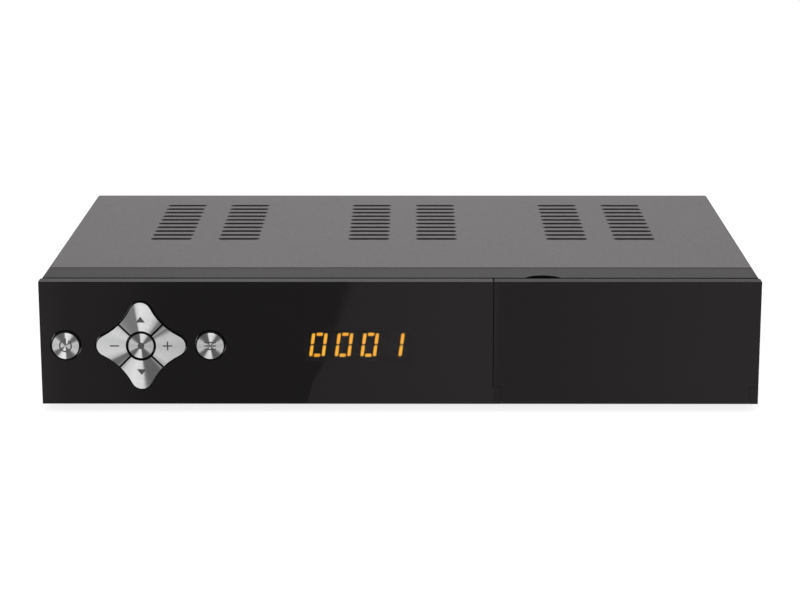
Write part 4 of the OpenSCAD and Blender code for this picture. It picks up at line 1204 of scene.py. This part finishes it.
@dataclass
class Fascia(Dressed):
    """Glossy left part of the front, see-through in front of the display."""

    # the window and the field of the keys, along X and Z
    window: Area = (-34.5, 3.3, 19.3, 30.6)
    keys: Area = (-128.0, -61.0, 6.0, 44.0)
    plate: float = 2.2
    knuckle_end: float = 36.7
    # how much the seam is narrowed
    shut: float = 0.1

    def shape(self, bm: BMesh) -> None:
        """Cuts the window's outline into the front plate, and narrows the joints.

        Args:
            bm: The merged mesh.
        """
        trim_rim(bm)
        swell_knuckle(bm, FASCIA_END, self.knuckle_end)
        for v in bm.verts:
            if v.co.x / MM > self.knuckle_end - 0.1:
                v.co.x += JOINT_CLOSER * MM
            elif near(v.co.x, FASCIA_END):
                v.co.x += self.shut * MM
        round_corner(bm, FASCIA_END + self.shut)
        x0, x1, z0, z1 = (v * MM for v in self.window)
        for point, normal in (((x0, 0, 0), (1, 0, 0)), ((x1, 0, 0), (1, 0, 0)),
                              ((0, 0, z0), (0, 0, 1)), ((0, 0, z1), (0, 0, 1))):
            faces = [f for f in bm.faces if self.in_plate(f)]
            verts = dict.fromkeys(v for f in faces for v in f.verts)
            edges = dict.fromkeys(e for f in faces for e in f.edges)
            bmesh.ops.bisect_plane(bm, geom=[*verts, *edges, *faces], plane_co=point,
                                   plane_no=normal, dist=CUT)

    def in_plate(self, face: BMFace) -> bool:
        """Returns whether a face is the plate's flat front or back."""
        depth = face.calc_center_median().y / MM - PANEL_FRONT
        return abs(face.normal.y) > 0.99 and -0.01 < depth < self.plate + 0.01

    def paint(self, mesh: Mesh, palette: Palette) -> None:
        """Smokes the window's front, clears its back, and paints shade on the walls of the keys' holes.

        Args:
            mesh: The dressed mesh.
            palette: The finishes.
        """
        back = PANEL_FRONT + self.plate + 0.01
        repaint(mesh, palette.get("smoked_window"), lambda at, n: (
            at.y <= back and n.y < -0.99 and inside(self.window, at.x, at.z)))
        repaint(mesh, palette.get("window_back"), lambda at, n: (
            at.y <= back and n.y > 0.99 and inside(self.window, at.x, at.z)))
        repaint(mesh, palette.get("painted_shade_black"), lambda at, n: (
            at.y <= back and abs(n.y) < 0.97 and inside(self.keys, at.x, at.z)))
        matt_top(mesh, palette.get("panel_edge"))


@dataclass
class Door(Dressed):
    """Glossy drop-down door."""

    def shape(self, bm: BMesh) -> None:
        """Trims the rim's back, and rounds the corner at the seam."""
        trim_rim(bm)
        round_corner(bm, DOOR_START)

    def paint(self, mesh: Mesh, palette: Palette) -> None:
        """Leaves the top edge matt, in a darker copy of the fascia's edge finish, which is painted shade."""
        matt_top(mesh, palette.get("door_edge_painted_shade"))


@dataclass
class Key(Dressed):
    """A spun metal key."""

    slot: str = "spun_metal"
    dip: float = 0.03

    def shape(self, bm: BMesh) -> None:
        """Sets the face back by the thickness of its print.

        Args:
            bm: The merged mesh.
        """
        front = min(v.co.y for v in bm.verts)
        for v in bm.verts:
            if v.co.y < front + 1e-6:
                v.co.y += self.dip * MM

    def paint(self, mesh: Mesh, palette: Palette) -> None:
        """Paints the key's sides dark, as painted shade in place of their reflections."""
        repaint(mesh, palette.get("key_side"), lambda at, n: n.y > -0.97)


def round_corner(bm: BMesh, x: float, by: float = 0.4) -> None:
    """Rounds a panel's upper corner beside the seam.

    Args:
        bm: The panel's mesh.
        x: Place of the corner, in millimetres.
        by: The radius.
    """
    bevel_edges(bm, [e for e in bm.edges if all(
        near(v.co.x, x) and near(v.co.z, PANEL_TOP) for v in e.verts)], by, 3)


def trim_rim(bm: BMesh, back: float = -78.85, by: float = 0.3, low: float = 12.0) -> None:
    """Moves the back of a panel's rim forward above the hinge, which opens the shadow gap.

    Args:
        bm: The panel's mesh.
        back: Depth of the rim's back, in millimetres.
        by: How far it moves.
        low: Height at which this starts.
    """
    bmesh.ops.bisect_plane(bm, geom=bm.verts[:] + bm.edges[:] + bm.faces[:], dist=CUT,
                           plane_co=(0, 0, low * MM), plane_no=(0, 0, 1))
    for v in bm.verts:
        if near(v.co.y, back) and v.co.z / MM > low + 0.5:
            v.co.y -= by * MM


def swell_knuckle(bm: BMesh, x0: float, x1: float) -> None:
    """Lets a hinge knuckle's round fill more of its joint.

    Args:
        bm: The mesh that holds the knuckle.
        x0: Low end of the knuckle, in millimetres.
        x1: High end of the knuckle.
    """
    axis_y, axis_z = HINGE
    larger = KNUCKLE_RADIUS + JOINT_CLOSER
    for v in bm.verts:
        x, y, z = (c / MM for c in v.co)
        reach = math.hypot(y - axis_y, z - axis_z)
        if x0 - 0.01 < x < x1 + 0.01 and abs(reach - KNUCKLE_RADIUS) < 0.02 and z > axis_z:
            if y < PANEL_FRONT + 0.01:
                v.co.z = (axis_z + math.sqrt(larger ** 2 - (PANEL_FRONT - axis_y) ** 2)) * MM
            else:
                v.co.y = (axis_y + (y - axis_y) * larger / KNUCKLE_RADIUS) * MM
                v.co.z = (axis_z + (z - axis_z) * larger / KNUCKLE_RADIUS) * MM


def matt_top(mesh: Mesh, finish: Material) -> None:
    """Gives a panel's unpolished top edge its matt finish.

    Args:
        mesh: The panel's mesh.
        finish: The matt finish.
    """
    top = max(v.co.z for v in mesh.vertices) / MM
    repaint(mesh, finish, lambda at, n: n.z > 0.5 and top - at.z < 0.3)


class Sign(Enum):
    """Plain signs on the keys."""

    STANDBY = "standby"
    LINES = "lines"
    DOT = "dot"
    PLUS = "plus"
    MINUS = "minus"
    UP = "up"
    DOWN = "down"


@dataclass
class KeySign:
    """A sign printed on a key's face."""

    key: str
    sign: Sign
    at: Point
    size: float = 4.2
    line: float = 0.5
    face: float = -85.25
    thick: float = 0.025
    # between the three lines, and the corners of a round outline
    gap: float = 1.3
    steps: int = 28

    def bar(self, x: float, z: float, wide: float, high: float) -> list[Point]:
        """Returns the outline of an upright rectangle."""
        sides = ((-1, -1), (1, -1), (1, 1), (-1, 1))
        return [(x + i * wide / 2, z + k * high / 2) for i, k in sides]

    def ring(self, radius: float, start: float, end: float) -> list[list[Point]]:
        """Draws an arc with the line's width.

        Args:
            radius: Radius of its middle, in millimetres.
            start: Where it starts, in degrees.
            end: Where it ends.

        Returns:
            The outlines of its pieces.
        """
        inner, outer = radius - self.line / 2, radius + self.line / 2
        quads = []
        for i in range(self.steps):
            a, b = (math.radians(start + (end - start) * k / self.steps) for k in (i, i + 1))
            quads.append([(r * math.cos(t), r * math.sin(t)) for r, t in (
                (inner, a), (outer, a), (outer, b), (inner, b))])
        return quads

    def outlines(self) -> list[list[Point]]:
        """Draws the sign about its own middle.

        Returns:
            Its outlines, in millimetres.
        """
        half, line = self.size / 2, self.line
        if self.sign is Sign.STANDBY:
            return [*self.ring(half, 118, 422), self.bar(0, half * 0.72, line, half * 1.25)]
        if self.sign is Sign.LINES:
            return [self.bar(0, z, self.size, line) for z in (-self.gap, 0, self.gap)]
        if self.sign is Sign.DOT:
            dot = half * 0.58
            return [[(dot * math.cos(a), dot * math.sin(a)) for a in (
                math.tau * i / self.steps for i in range(self.steps))]]
        arm = half * 0.8
        level = self.bar(0, 0, 2 * arm, line)
        if self.sign is Sign.MINUS:
            return [level]
        if self.sign is Sign.PLUS:
            return [level, *(self.bar(0, side * (arm + line / 2) / 2, line, arm - line / 2)
                             for side in (1, -1))]
        up = 1 if self.sign is Sign.UP else -1
        return [[(-arm, -half * 0.42 * up), (arm, -half * 0.42 * up), (0, half * 0.62 * up)]]

    def build(self, palette: Palette) -> Object:
        """Makes the sign as a thin layer of ink.

        Args:
            palette: The finishes.

        Returns:
            The piece.
        """
        bm = bmesh.new()
        for outline in self.outlines():
            bm.faces.new([bm.verts.new(
                ((self.at[0] + x) * MM, self.face * MM, (self.at[1] + z) * MM))
                for x, z in outline])
        bmesh.ops.remove_doubles(bm, verts=bm.verts, dist=MERGE)
        layer = bmesh.ops.extrude_face_region(bm, geom=bm.faces[:], use_keep_orig=True)
        moved = [v for v in layer["geom"] if isinstance(v, BMVert)]
        bmesh.ops.translate(bm, verts=moved, vec=(0, self.thick * MM, 0))
        bmesh.ops.recalc_face_normals(bm, faces=bm.faces)
        name = self.key + "_sign"
        mesh = bpy.data.meshes.new(name)
        bm.to_mesh(mesh)
        bm.free()
        return fix(link(name, mesh, palette.get("key_print")), self.key + "_key",
                   "black_plastic")


@dataclass
class AerialConnector:
    """Threaded aerial socket: a turned barrel, its thread and its insulator."""

    node: str
    x: float
    z: float = 19.9
    # radii of the bore, the thread's root and crest, the shoulder and the pin's hole
    bore: float = 3.3
    root: float = 4.36
    crest: float = 4.75
    shoulder: float = 4.96
    hole: float = 0.6
    pitch: float = 0.794
    # places along Y
    wall: float = 74.05
    nut: float = 76.85
    tip: float = 85.25

    def build(self, palette: Palette) -> None:
        """Makes the barrel, the insulator and the thread.

        Args:
            palette: The finishes.
        """
        middle, bore, tip, wall = (self.x, 0, self.z), self.bore, self.tip, self.wall
        barrel = lathe([(bore, tip), (self.root - 0.3, tip), (self.root, tip - 0.3),
                        (self.root, self.nut), (self.shoulder, self.nut),
                        (self.shoulder, wall), (bore, wall)], middle, Axis.BACK)
        core = lathe([(self.hole, tip - 0.6), (2.2, tip - 0.6), (2.9, tip - 1.2),
                      (bore, tip - 1.2), (bore, wall), (self.hole, wall)], middle, Axis.BACK, 32)
        for bm, part, finish in ((barrel, "_barrel", "nickel"), (core, "_insulator", "dielectric")):
            name = self.node + part
            fix(link(name, to_mesh(bm, name), palette.get(finish)), CASE, "nickel", [self.node])
        fix(self.thread(palette.get("nickel")), CASE, "nickel", [self.node])

    def thread(self, finish: Material) -> Object:
        """Winds the thread with Geometry Nodes.

        Args:
            finish: Its finish.

        Returns:
            The thread's object.
        """
        s = Sketch(self.node + "_thread")
        turns = math.floor((self.tip - self.nut - 0.8) / self.pitch)
        radius = s.size("Radius", self.root * MM)
        coil = s.add("GeometryNodeCurveSpiral", {
            "Resolution": 36, "Rotations": s.size("Turns", float(turns)),
            "Start Radius": radius, "End Radius": radius,
            "Height": s.size("Run", turns * self.pitch * MM)}).outputs[0]
        ridge = s.circle(4, s.size("Ridge", (self.crest - self.root) * MM))
        start = s.vector(self.x * MM, (self.nut + 0.4) * MM, self.z * MM)
        return s.finish(s.move(s.tube(coil, ridge, True), start, (-math.pi / 2, 0, 0)), finish)


@dataclass
class ChipLegs:
    """Rows of tinned legs round the chips of the main board."""

    # middle of each chip, its size along X and Y, and legs along X and along Y
    chips: Sequence[tuple[Point, Point, int, int]] = (
        ((20.7, 11.55), (27, 27), 40, 40), ((-3.8, 15.55), (8, 22), 0, 27),
        ((-3.8, -8.45), (8, 14), 0, 16), ((20.7, -14.45), (8, 6), 0, 4))
    board: float = 11.4
    reach: float = 0.9
    width: float = 0.26
    height: float = 0.5
    # from the chip's corner to the first leg, along X and along Y
    inset: Point = (1.0, 0.8)

    def build(self, palette: Palette) -> Object:
        """Sets the legs on the chips' sides.

        Args:
            palette: The finishes.

        Returns:
            The piece.
        """
        s = Sketch("chip_legs")
        reach, width = s.size("Reach", self.reach * MM), s.size("Width", self.width * MM)
        high, level = self.height * MM, (self.board + self.height / 2) * MM
        inset_x, inset_y = self.inset
        rows = []
        for (x, y), (wide, deep), along_x, along_y in self.chips:
            for side in (-1, 1):
                if along_x:
                    step = (wide - 2 * inset_x) / (along_x - 1) * MM
                    start = s.vector((x - wide / 2 + inset_x) * MM,
                                     (y + side * (deep + self.reach) / 2) * MM, level)
                    rows.append(s.repeat(s.row(along_x, s.vector(step), start),
                                         s.cube(width, reach, high)))
                step = (deep - 2 * inset_y) / (along_y - 1) * MM
                start = s.vector((x + side * (wide + self.reach) / 2) * MM,
                                 (y - deep / 2 + inset_y) * MM, level)
                rows.append(s.repeat(s.row(along_y, s.vector(0.0, step), start),
                                     s.cube(reach, width, high)))
        return fix(s.finish(s.join(*rows), palette.get("tin_can")), CASE, "tin_can")


@dataclass
class SocketContacts:
    """Spring contacts in the television socket's two rows of slots."""

    # the first contact of the lower row: its middle along X and Z, and its front along Y
    x: float = 19.1
    z: float = 20.95
    back: float = 68.4
    thick: float = 0.3
    run: float = 6.0
    height: float = 1.8
    pitch: float = 3.8
    count: int = 10
    # from the lower row to the upper one, along X and Z
    shift: Point = (1.9, 4.4)

    def build(self, palette: Palette) -> Object:
        """Sets one blade in each slot.

        Args:
            palette: The finishes.

        Returns:
            The piece.
        """
        s = Sketch("socket_contacts")
        blade = s.cube(s.size("Thickness", self.thick * MM), s.size("Run", self.run * MM),
                       s.size("Height", self.height * MM))
        rows = []
        for row in (0, 1):
            start = s.vector((self.x + row * self.shift[0]) * MM, (self.back + self.run / 2) * MM,
                             (self.z + row * self.shift[1]) * MM)
            rows.append(s.repeat(s.row(self.count, s.vector(self.pitch * MM), start), blade))
        return fix(s.finish(s.join(*rows), palette.get("nickel")), CASE, "nickel")


@dataclass
class SolderJoints:
    """Solder cones on the underside of the horizontal boards."""

    fields: Sequence[Area] = ((-120.0, -68.0, -12.0, 50.0), (-20.0, 118.0, -20.0, 52.0))
    under: float = 9.8
    pitch: float = 5.4
    foot: float = 0.8
    tip: float = 0.25
    height: float = 0.9
    # share of the grid's places that hold a joint
    share: float = 0.45
    seed: int = 7

    def build(self, palette: Palette) -> Object:
        """Scatters the joints on a grid, with gaps.

        Args:
            palette: The finishes.

        Returns:
            The piece.
        """
        s = Sketch("solder_joints")
        cone = s.add("GeometryNodeMeshCone", {
            "Vertices": 8, "Radius Top": self.tip * MM,
            "Radius Bottom": s.size("Foot", self.foot * MM),
            "Depth": s.size("Height", self.height * MM)}).outputs[0]
        parts = []
        for k, (x0, x1, y0, y1) in enumerate(self.fields):
            grid = s.add("GeometryNodeMeshGrid", {
                "Size X": (x1 - x0) * MM, "Size Y": (y1 - y0) * MM,
                "Vertices X": int((x1 - x0) / self.pitch),
                "Vertices Y": int((y1 - y0) / self.pitch)}).outputs[0]
            placed = s.move(grid, ((x0 + x1) / 2 * MM, (y0 + y1) / 2 * MM, self.under * MM))
            chance = s.add("FunctionNodeRandomValue", {
                "Probability": self.share, "Seed": self.seed + k}, data_type="BOOLEAN")
            there = next(o for o in chance.outputs if o.type == "BOOLEAN")
            parts.append(s.repeat(placed, cone, (math.pi, 0, 0), there))
        return fix(s.finish(s.join(*parts), palette.get("tin_can")), CASE, "tin_can")


@dataclass
class RibbonCores:
    """Round cores along the flat cable, which give it its ribs."""

    x: float = 10.55
    width: float = 12.0
    cores: int = 9
    radius: float = 0.62
    # the level run: its two ends along Y, and its height
    run: Point = (-65.15, -41.8)
    level: float = 26.8
    # the bend: its middle along Y and Z, and its radius; the cable goes down from there
    middle: Point = (-41.15, 21.8)
    bend: float = 5.0
    low: float = 17.5

    def build(self, palette: Palette) -> Object:
        """Sweeps the cores along the cable.

        Args:
            palette: The finishes.

        Returns:
            The piece.
        """
        s = Sketch("ribbon_cores")
        step = (self.width - 2 * self.radius) / (self.cores - 1)
        core = s.circle(8, s.size("Core", self.radius * MM))
        arc = s.add("GeometryNodeCurveArc", {
            "Resolution": 10, "Radius": s.size("Bend", self.bend * MM), "Start Angle": 0.0,
            "Sweep Angle": math.pi / 2}).outputs[0]
        y, z = self.middle
        level, down = self.level * MM, (y + self.bend) * MM
        paths = (s.line((0.0, self.run[0] * MM, level), (0.0, self.run[1] * MM, level)),
                 s.move(arc, (0.0, y * MM, z * MM), (math.pi / 2, 0, math.pi / 2)),
                 s.line((0.0, down, z * MM), (0.0, down, self.low * MM)))
        tubes = s.join(*(s.tube(path, core, True) for path in paths))
        row = s.row(self.cores, s.vector(step * MM),
                    s.vector((self.x - self.width / 2 + self.radius) * MM))
        return fix(s.finish(s.repeat(row, tubes), palette.get("ribbon_grey")), CASE,
                   "ribbon_grey", ["ribbon_cable"])


@dataclass
class FilterWinding:
    """Copper turns round the line filter's ring."""

    middle: Point3 = (-97.1, 42.05, 20.4)
    mean: float = 5.5
    thick: float = 6.2
    high: float = 11.2
    turns: int = 30
    wire: float = 0.42

    def build(self, palette: Palette) -> Object:
        """Winds the turns with Geometry Nodes.

        Args:
            palette: The finishes.

        Returns:
            The piece.
        """
        s = Sketch("filter_winding")
        loop = s.add("GeometryNodeCurvePrimitiveQuadrilateral", {
            "Width": s.size("Turn width", self.thick * MM),
            "Height": s.size("Turn height", self.high * MM)}).outputs[0]
        turn = s.tube(loop, s.circle(6, s.size("Wire", self.wire * MM)))
        upright = s.move(turn, (0, 0, 0), (math.pi / 2, 0, 0))
        circle = s.add("GeometryNodeMeshCircle", {
            "Vertices": s.size("Turns", self.turns),
            "Radius": s.size("Mean radius", self.mean * MM)}).outputs[0]
        where = s.add("GeometryNodeInputPosition").outputs[0]
        aim = s.add("FunctionNodeAlignEulerToVector", {"Vector": where}, axis="X",
                    pivot_axis="Z").outputs[0]
        coil = s.move(s.repeat(circle, upright, aim), tuple(v * MM for v in self.middle))
        return fix(s.finish(coil, palette.get("copper_wire")), CASE, "winding")


@dataclass
class FootRings:
    """Rubber feet: turned pads with ribbed soles."""

    middles: Sequence[Point] = tuple((x, y) for x in (-108.0, 108.0) for y in (-38.95, 53.75))
    radius: float = 8.0
    height: float = 3.0
    # height of the sole inside its rim, and of the ribs' middles
    sole: float = 0.35
    rib_level: float = 0.36
    ribs: Sequence[float] = (1.6, 3.4, 5.2)
    rib: float = 0.32

    def build(self, palette: Palette) -> None:
        """Turns the pads and sets their ribs.

        Args:
            palette: The finishes.
        """
        rubber = palette.get("foot_rubber")
        bm = bmesh.new()
        r, sole = self.radius, self.sole
        for x, y in self.middles:
            pad = lathe([(0, sole), (r - 1.6, sole), (r - 1.4, 0), (r - 0.8, 0), (r - 0.15, 0.5),
                         (r, 1.0), (r, self.height), (0, self.height)], (x, y, 0), Axis.UP)
            mesh = bpy.data.meshes.new("pad")
            pad.to_mesh(mesh)
            pad.free()
            bm.from_mesh(mesh)
            bpy.data.meshes.remove(mesh)
        pads = link("feet_pads", to_mesh(bm, "feet_pads"), rubber)
        fix(pads, CASE, "foot_rubber", ["feet"])
        s = Sketch("foot_ribs")
        rings = [s.tube(s.circle(32, radius * MM),
                        s.circle(6, s.size(f"Rib at {radius}", self.rib * MM)))
                 for radius in self.ribs]
        row = s.join(*(s.row(1, s.vector(), s.vector(x * MM, y * MM, self.rib_level * MM))
                       for x, y in self.middles))
        fix(s.finish(s.repeat(row, s.join(*rings)), rubber), CASE, "foot_rubber", ["feet"])


# ---------------------------------------------------------------- studio

@dataclass(frozen=True)
class SoftBox:
    """A soft lamp that looks at the object."""

    name: str
    # in metres
    place: Point3
    wide: float
    watts: float
    target: Point3 = (0, 0, 0)

    def build(self) -> None:
        """Hangs the lamp and aims it."""
        data = bpy.data.lights.new(self.name, "AREA")
        data.shape = "RECTANGLE"
        data.size = self.wide
        data.size_y = self.wide * 0.7
        data.energy = self.watts
        lamp = bpy.data.objects.new(self.name, data)
        lamp.location = self.place
        sight = Vector(self.target) - Vector(self.place)
        lamp.rotation_euler = sight.to_track_quat("-Z", "Y").to_euler()
        bpy.context.scene.collection.objects.link(lamp)


@dataclass(frozen=True)
class Card:
    """A bright card on the floor before the panel, which only reflections see."""

    name: str
    # where its outer side lies along X
    side: float
    # places along the panel in millimetres, with the card's level there
    levels: Sequence[Point]
    # where it meets the other card, in millimetres on the floor, from the panel outwards
    meet: Sequence[Point] = (
        (-34.4, -86.0), (-33.3, -122.5), (-30.4, -145.4), (-26.7, -214.8), (-25.1, -242.6),
        (-23.6, -285.6), (-16.0, -500.0))
    height: float = 0.4
    brightest: float = 4.0
    # how much smaller a reflected place looks, by its place along Y in metres: 1 at the panel
    slope: float = -1.25
    start: float = 0.8947

    def build(self) -> None:
        """Lays the card, and lights it by the place on the panel that reflects it."""
        far, close = self.meet[-1][1], self.meet[0][1]
        card = stage_sheet(self.name, (*self.meet, (self.side, far), (self.side, close)),
                           self.height)
        g = Graph(bpy.data.materials.new(self.name + "_glow"))
        across, back, _ = g.axes(g.place())
        # a reflected place lies as far behind the panel as the card's place lies before it, and
        # the camera, 0.8 m from the panel, sees it nearer the middle by 1 for each 0.8 m
        away = g.maths("ADD", g.maths("MULTIPLY", back, self.slope), self.start)
        shade = g.levels(g.maths("DIVIDE", across, away), self.levels, self.brightest)
        card.data.materials.append(g.end(g.add("ShaderNodeEmission", {
            "Color": shade, "Strength": self.brightest})))
        card.visible_camera = False
        card.visible_diffuse = False
        card.visible_shadow = False
        card.visible_transmission = False


@dataclass
class Studio:
    """Camera, lamps, floor, world and the reflecting cards in front of the panel."""

    eye: Point3 = (5.015, -884.427, 238.012)
    # the camera's turns, in degrees
    tilt: float = 13.7711
    turn: float = 0.3545
    roll: float = -0.0607
    lens: float = 103.103
    sky: float = 0.55
    # half the floor's side, its colour and its glow, for other rays and for the camera
    floor_half: float = 9000.0
    floor_colours: Point = (0.65, 0.26)
    floor_glows: Point = (0.55, 0.84)
    boxes: Sequence[SoftBox] = (
        SoftBox("top_box", (0.0, -0.15, 1.5), 1.6, 10.0),
        SoftBox("front_box", (-0.15, -1.9, 1.1), 1.2, 9.0),
        SoftBox("back_box", (0.0, 1.9, 1.1), 1.2, 6.0))
    cards: Sequence[Card] = (
        Card("card_left", -700.0, (
            (-150, 1.2), (-134, 1.2), (-132, 2.8), (-130, 2.75), (-127, 2.5), (-124, 2.2),
            (-120, 1.95), (-116, 1.88), (-106, 1.8), (-100, 1.65), (-90, 1.3), (-79, 1.2),
            (-34, 1.27))),
        Card("card_right", 700.0, (
            (-34, 2.42), (0, 2.6), (15, 2.75), (33.6, 2.9), (33.8, 2.15), (50, 2.2), (72, 2.4),
            (100, 2.7), (132, 3.0), (134, 1.4), (150, 1.3))))

    def build(self) -> None:
        """Sets up everything that isn't part of the object."""
        self.camera()
        self.world()
        for box in self.boxes:
            box.build()
        self.floor()
        for card in self.cards:
            card.build()
        bpy.context.scene.view_settings.view_transform = "Standard"

    def camera(self) -> None:
        """Places the camera where the photograph was taken."""
        data = bpy.data.cameras.new("camera")
        data.lens = self.lens
        data.sensor_width = 36
        data.sensor_fit = "HORIZONTAL"
        data.clip_end = 100
        camera = bpy.data.objects.new("camera", data)
        aim = Matrix.Identity(4)
        for degrees, axis in ((self.turn, "Z"), (90 - self.tilt, "X"), (self.roll, "Z")):
            aim = aim @ Matrix.Rotation(math.radians(degrees), 4, axis)
        camera.matrix_world = Matrix.Translation([v * MM for v in self.eye]) @ aim
        bpy.context.scene.collection.objects.link(camera)
        bpy.context.scene.camera = camera

    def world(self) -> None:
        """A white world that lights the object at a plain level."""
        world = bpy.data.worlds.new("studio")
        bpy.context.scene.world = world
        g = Graph(world)
        g.end(g.add("ShaderNodeBackground", {
            "Color": (1, 1, 1, 1), "Strength": g.span(seen(g), 0, 1, self.sky, 1.0)}))

    def floor(self) -> None:
        """White floor that keeps the object's shadow."""
        half = self.floor_half
        floor = stage_sheet("floor", ((-half, -half), (half, -half), (half, half), (-half, half)),
                            0)
        g = Graph(bpy.data.materials.new("floor_white"))
        camera = g.add("ShaderNodeLightPath").outputs["Is Camera Ray"]
        colour = g.blend(camera, *(even(level) for level in self.floor_colours))
        plain = g.add("ShaderNodeBsdfDiffuse", {"Color": colour})
        glow = g.add("ShaderNodeEmission", {"Color": (1, 1, 1, 1), "Strength": g.maths(
            "MULTIPLY", seen(g), g.span(camera, 0, 1, *self.floor_glows))})
        floor.data.materials.append(g.end(g.add("ShaderNodeAddShader", {
            0: plain.outputs[0], 1: glow.outputs[0]})))


def seen(g: Graph) -> NodeSocket:
    """Tells the rays that look at the background, straight or by a reflection.

    Args:
        g: The graph that asks.

    Returns:
        A value socket, 1 for these rays and 0 for others.
    """
    path = g.add("ShaderNodeLightPath").outputs
    sight = g.maths("MAXIMUM", path["Is Camera Ray"], path["Is Glossy Ray"])
    return g.maths("MAXIMUM", sight, path["Is Transmission Ray"])


def stage_sheet(name: str, outline: Sequence[Point], height: float) -> Object:
    """Lays a flat piece of the stage.

    Args:
        name: Its name.
        outline: Its corners, in millimetres.
        height: Its height, in millimetres.

    Returns:
        The piece.
    """
    mesh = bpy.data.meshes.new(name)
    mesh.from_pydata([(x * MM, y * MM, height * MM) for x, y in outline], [],
                     [tuple(range(len(outline)))])
    piece = link(name, mesh)
    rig.stage(piece)
    return piece


# ---------------------------------------------------------------- assembly

DRESSED: tuple[Dressed, ...] = (
    Cover("top_cover", "cover_paint", Bevel.HAIR, 40),
    Dressed("base_tray", "zinc_steel", Bevel.HAIR, 40),
    FrontFrame("front_frame", "frame_plastic", Bevel.HAIR, 40),
    Fascia("fascia", "gloss_black", Bevel.HAIR, 40),
    Door("door", "gloss_black", Bevel.HAIR, 40, DOOR),
    Dressed("mains_inlet", "black_plastic"),
    Dressed("scart_socket", "black_plastic"),
    Dressed("hdmi_socket", "nickel", Bevel.HAIR),
    Dressed("usb_socket", "nickel", Bevel.HAIR),
    Dressed("card_reader", "black_plastic"),
    Dressed("rca_block", "jack_plastic", least=40, slot="black_plastic"),
    Dressed("rca_sleeves", "nickel", Bevel.HAIR, 40),
    Dressed("connector_nuts", "nickel", least=40),
    Dressed("tuner_can", "tin_can", Bevel.HAIR, 40),
    Dressed("main_capacitors", "can_sleeve", Bevel.SOFT, 40),
    Dressed("mains_capacitor", "can_sleeve", Bevel.SOFT, 40),
    Dressed("output_capacitors", "can_sleeve", Bevel.SOFT, 40),
    Dressed("transformer", "ferrite", least=40),
    Dressed("heat_sink", "sink_dark", Bevel.HAIR, 40),
    Dressed("ribbon_headers", "ivory_plastic"),
)

# the keys, with the finish, the sign and the sign's middle of each
KEYS: tuple[tuple[str, str, Sign, Point], ...] = (
    ("power", "spun_power", Sign.STANDBY, POWER_MIDDLE),
    ("menu", "spun_menu", Sign.LINES, MENU_MIDDLE),
    ("ok", "spun_ok", Sign.DOT, PAD_MIDDLE),
    ("volume_up", "spun_pad", Sign.PLUS, (PAD_MIDDLE[0] + PETAL, PAD_MIDDLE[1])),
    ("volume_down", "spun_pad", Sign.MINUS, (PAD_MIDDLE[0] - PETAL, PAD_MIDDLE[1])),
    ("channel_up", "spun_pad", Sign.UP, (PAD_MIDDLE[0], PAD_MIDDLE[1] + PETAL)),
    ("channel_down", "spun_pad", Sign.DOWN, (PAD_MIDDLE[0], PAD_MIDDLE[1] - PETAL)),
)

# CAD nodes that are shown as they are, with their finish
PLAIN: dict[str, str] = {
    "cover_screws": "black_screws", "frame_screws": "steel_screws", "catch_magnet": "ferrite",
    "catch_strike": "steel_screws", "front_board": "board_front",
    "front_board_screws": "steel_screws", "key_switches": "black_plastic",
    "display_module": "display_black", "display_lit": "digit_amber",
    "display_dark": "digit_dark", "remote_eye": "eye_dark", "main_board": "board_green",
    "power_board": "board_tan", "board_spacers": "nickel", "board_screws": "steel_screws",
    "processor": "chip_black", "memory_chips": "chip_black", "board_parts": "part_grey",
    "inlet_pins": "nickel", "line_filter": "winding", "switch_heat_sink": "sink_bare",
    "power_harness": "wire_red", **{key + "_plunger": "black_plastic" for key, *_ in KEYS},
}


def key_pieces() -> list[Dressed | KeySign]:
    """Pairs each key with its sign.

    Returns:
        The keys and their signs.
    """
    pieces: list[Dressed | KeySign] = []
    for name, finish, sign, at in KEYS:
        pieces += [Key(name + "_button", finish, body=name + "_key"), KeySign(name, sign, at)]
    return pieces


def paint_plain(palette: Palette) -> None:
    """Gives the CAD nodes that stay their finishes.

    Args:
        palette: The finishes.
    """
    for node, finish in PLAIN.items():
        data = frame["nodes"][node].data
        data.materials.clear()
        data.materials.append(palette.get(finish))
        log.info("%s keeps its CAD shape, finish %s", node, finish)


def corners(box: tuple) -> list[list[float]]:
    """Returns a box's two corners as plain lists."""
    return [[float(v) for v in corner] for corner in box]


def main() -> None:
    """Builds the looks and the studio."""
    logging.basicConfig(level=logging.INFO, format="%(name)s: %(message)s")
    before = corners(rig.bounds())
    palette = Palette()
    paint_plain(palette)
    for piece in (*DRESSED, *key_pieces(), AerialConnector("lnb_in_connector", 93.1),
                  AerialConnector("lnb_out_connector", 113.1), ChipLegs(), SocketContacts(),
                  SolderJoints(), RibbonCores(), FilterWinding(), FootRings()):
        piece.build(palette)
    Studio().build()
    with open(SIZE_FILE, "w", encoding="utf-8") as out:
        json.dump({"cad": before, "visual": corners(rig.bounds())}, out)


if __name__ == "__main__":
    main()
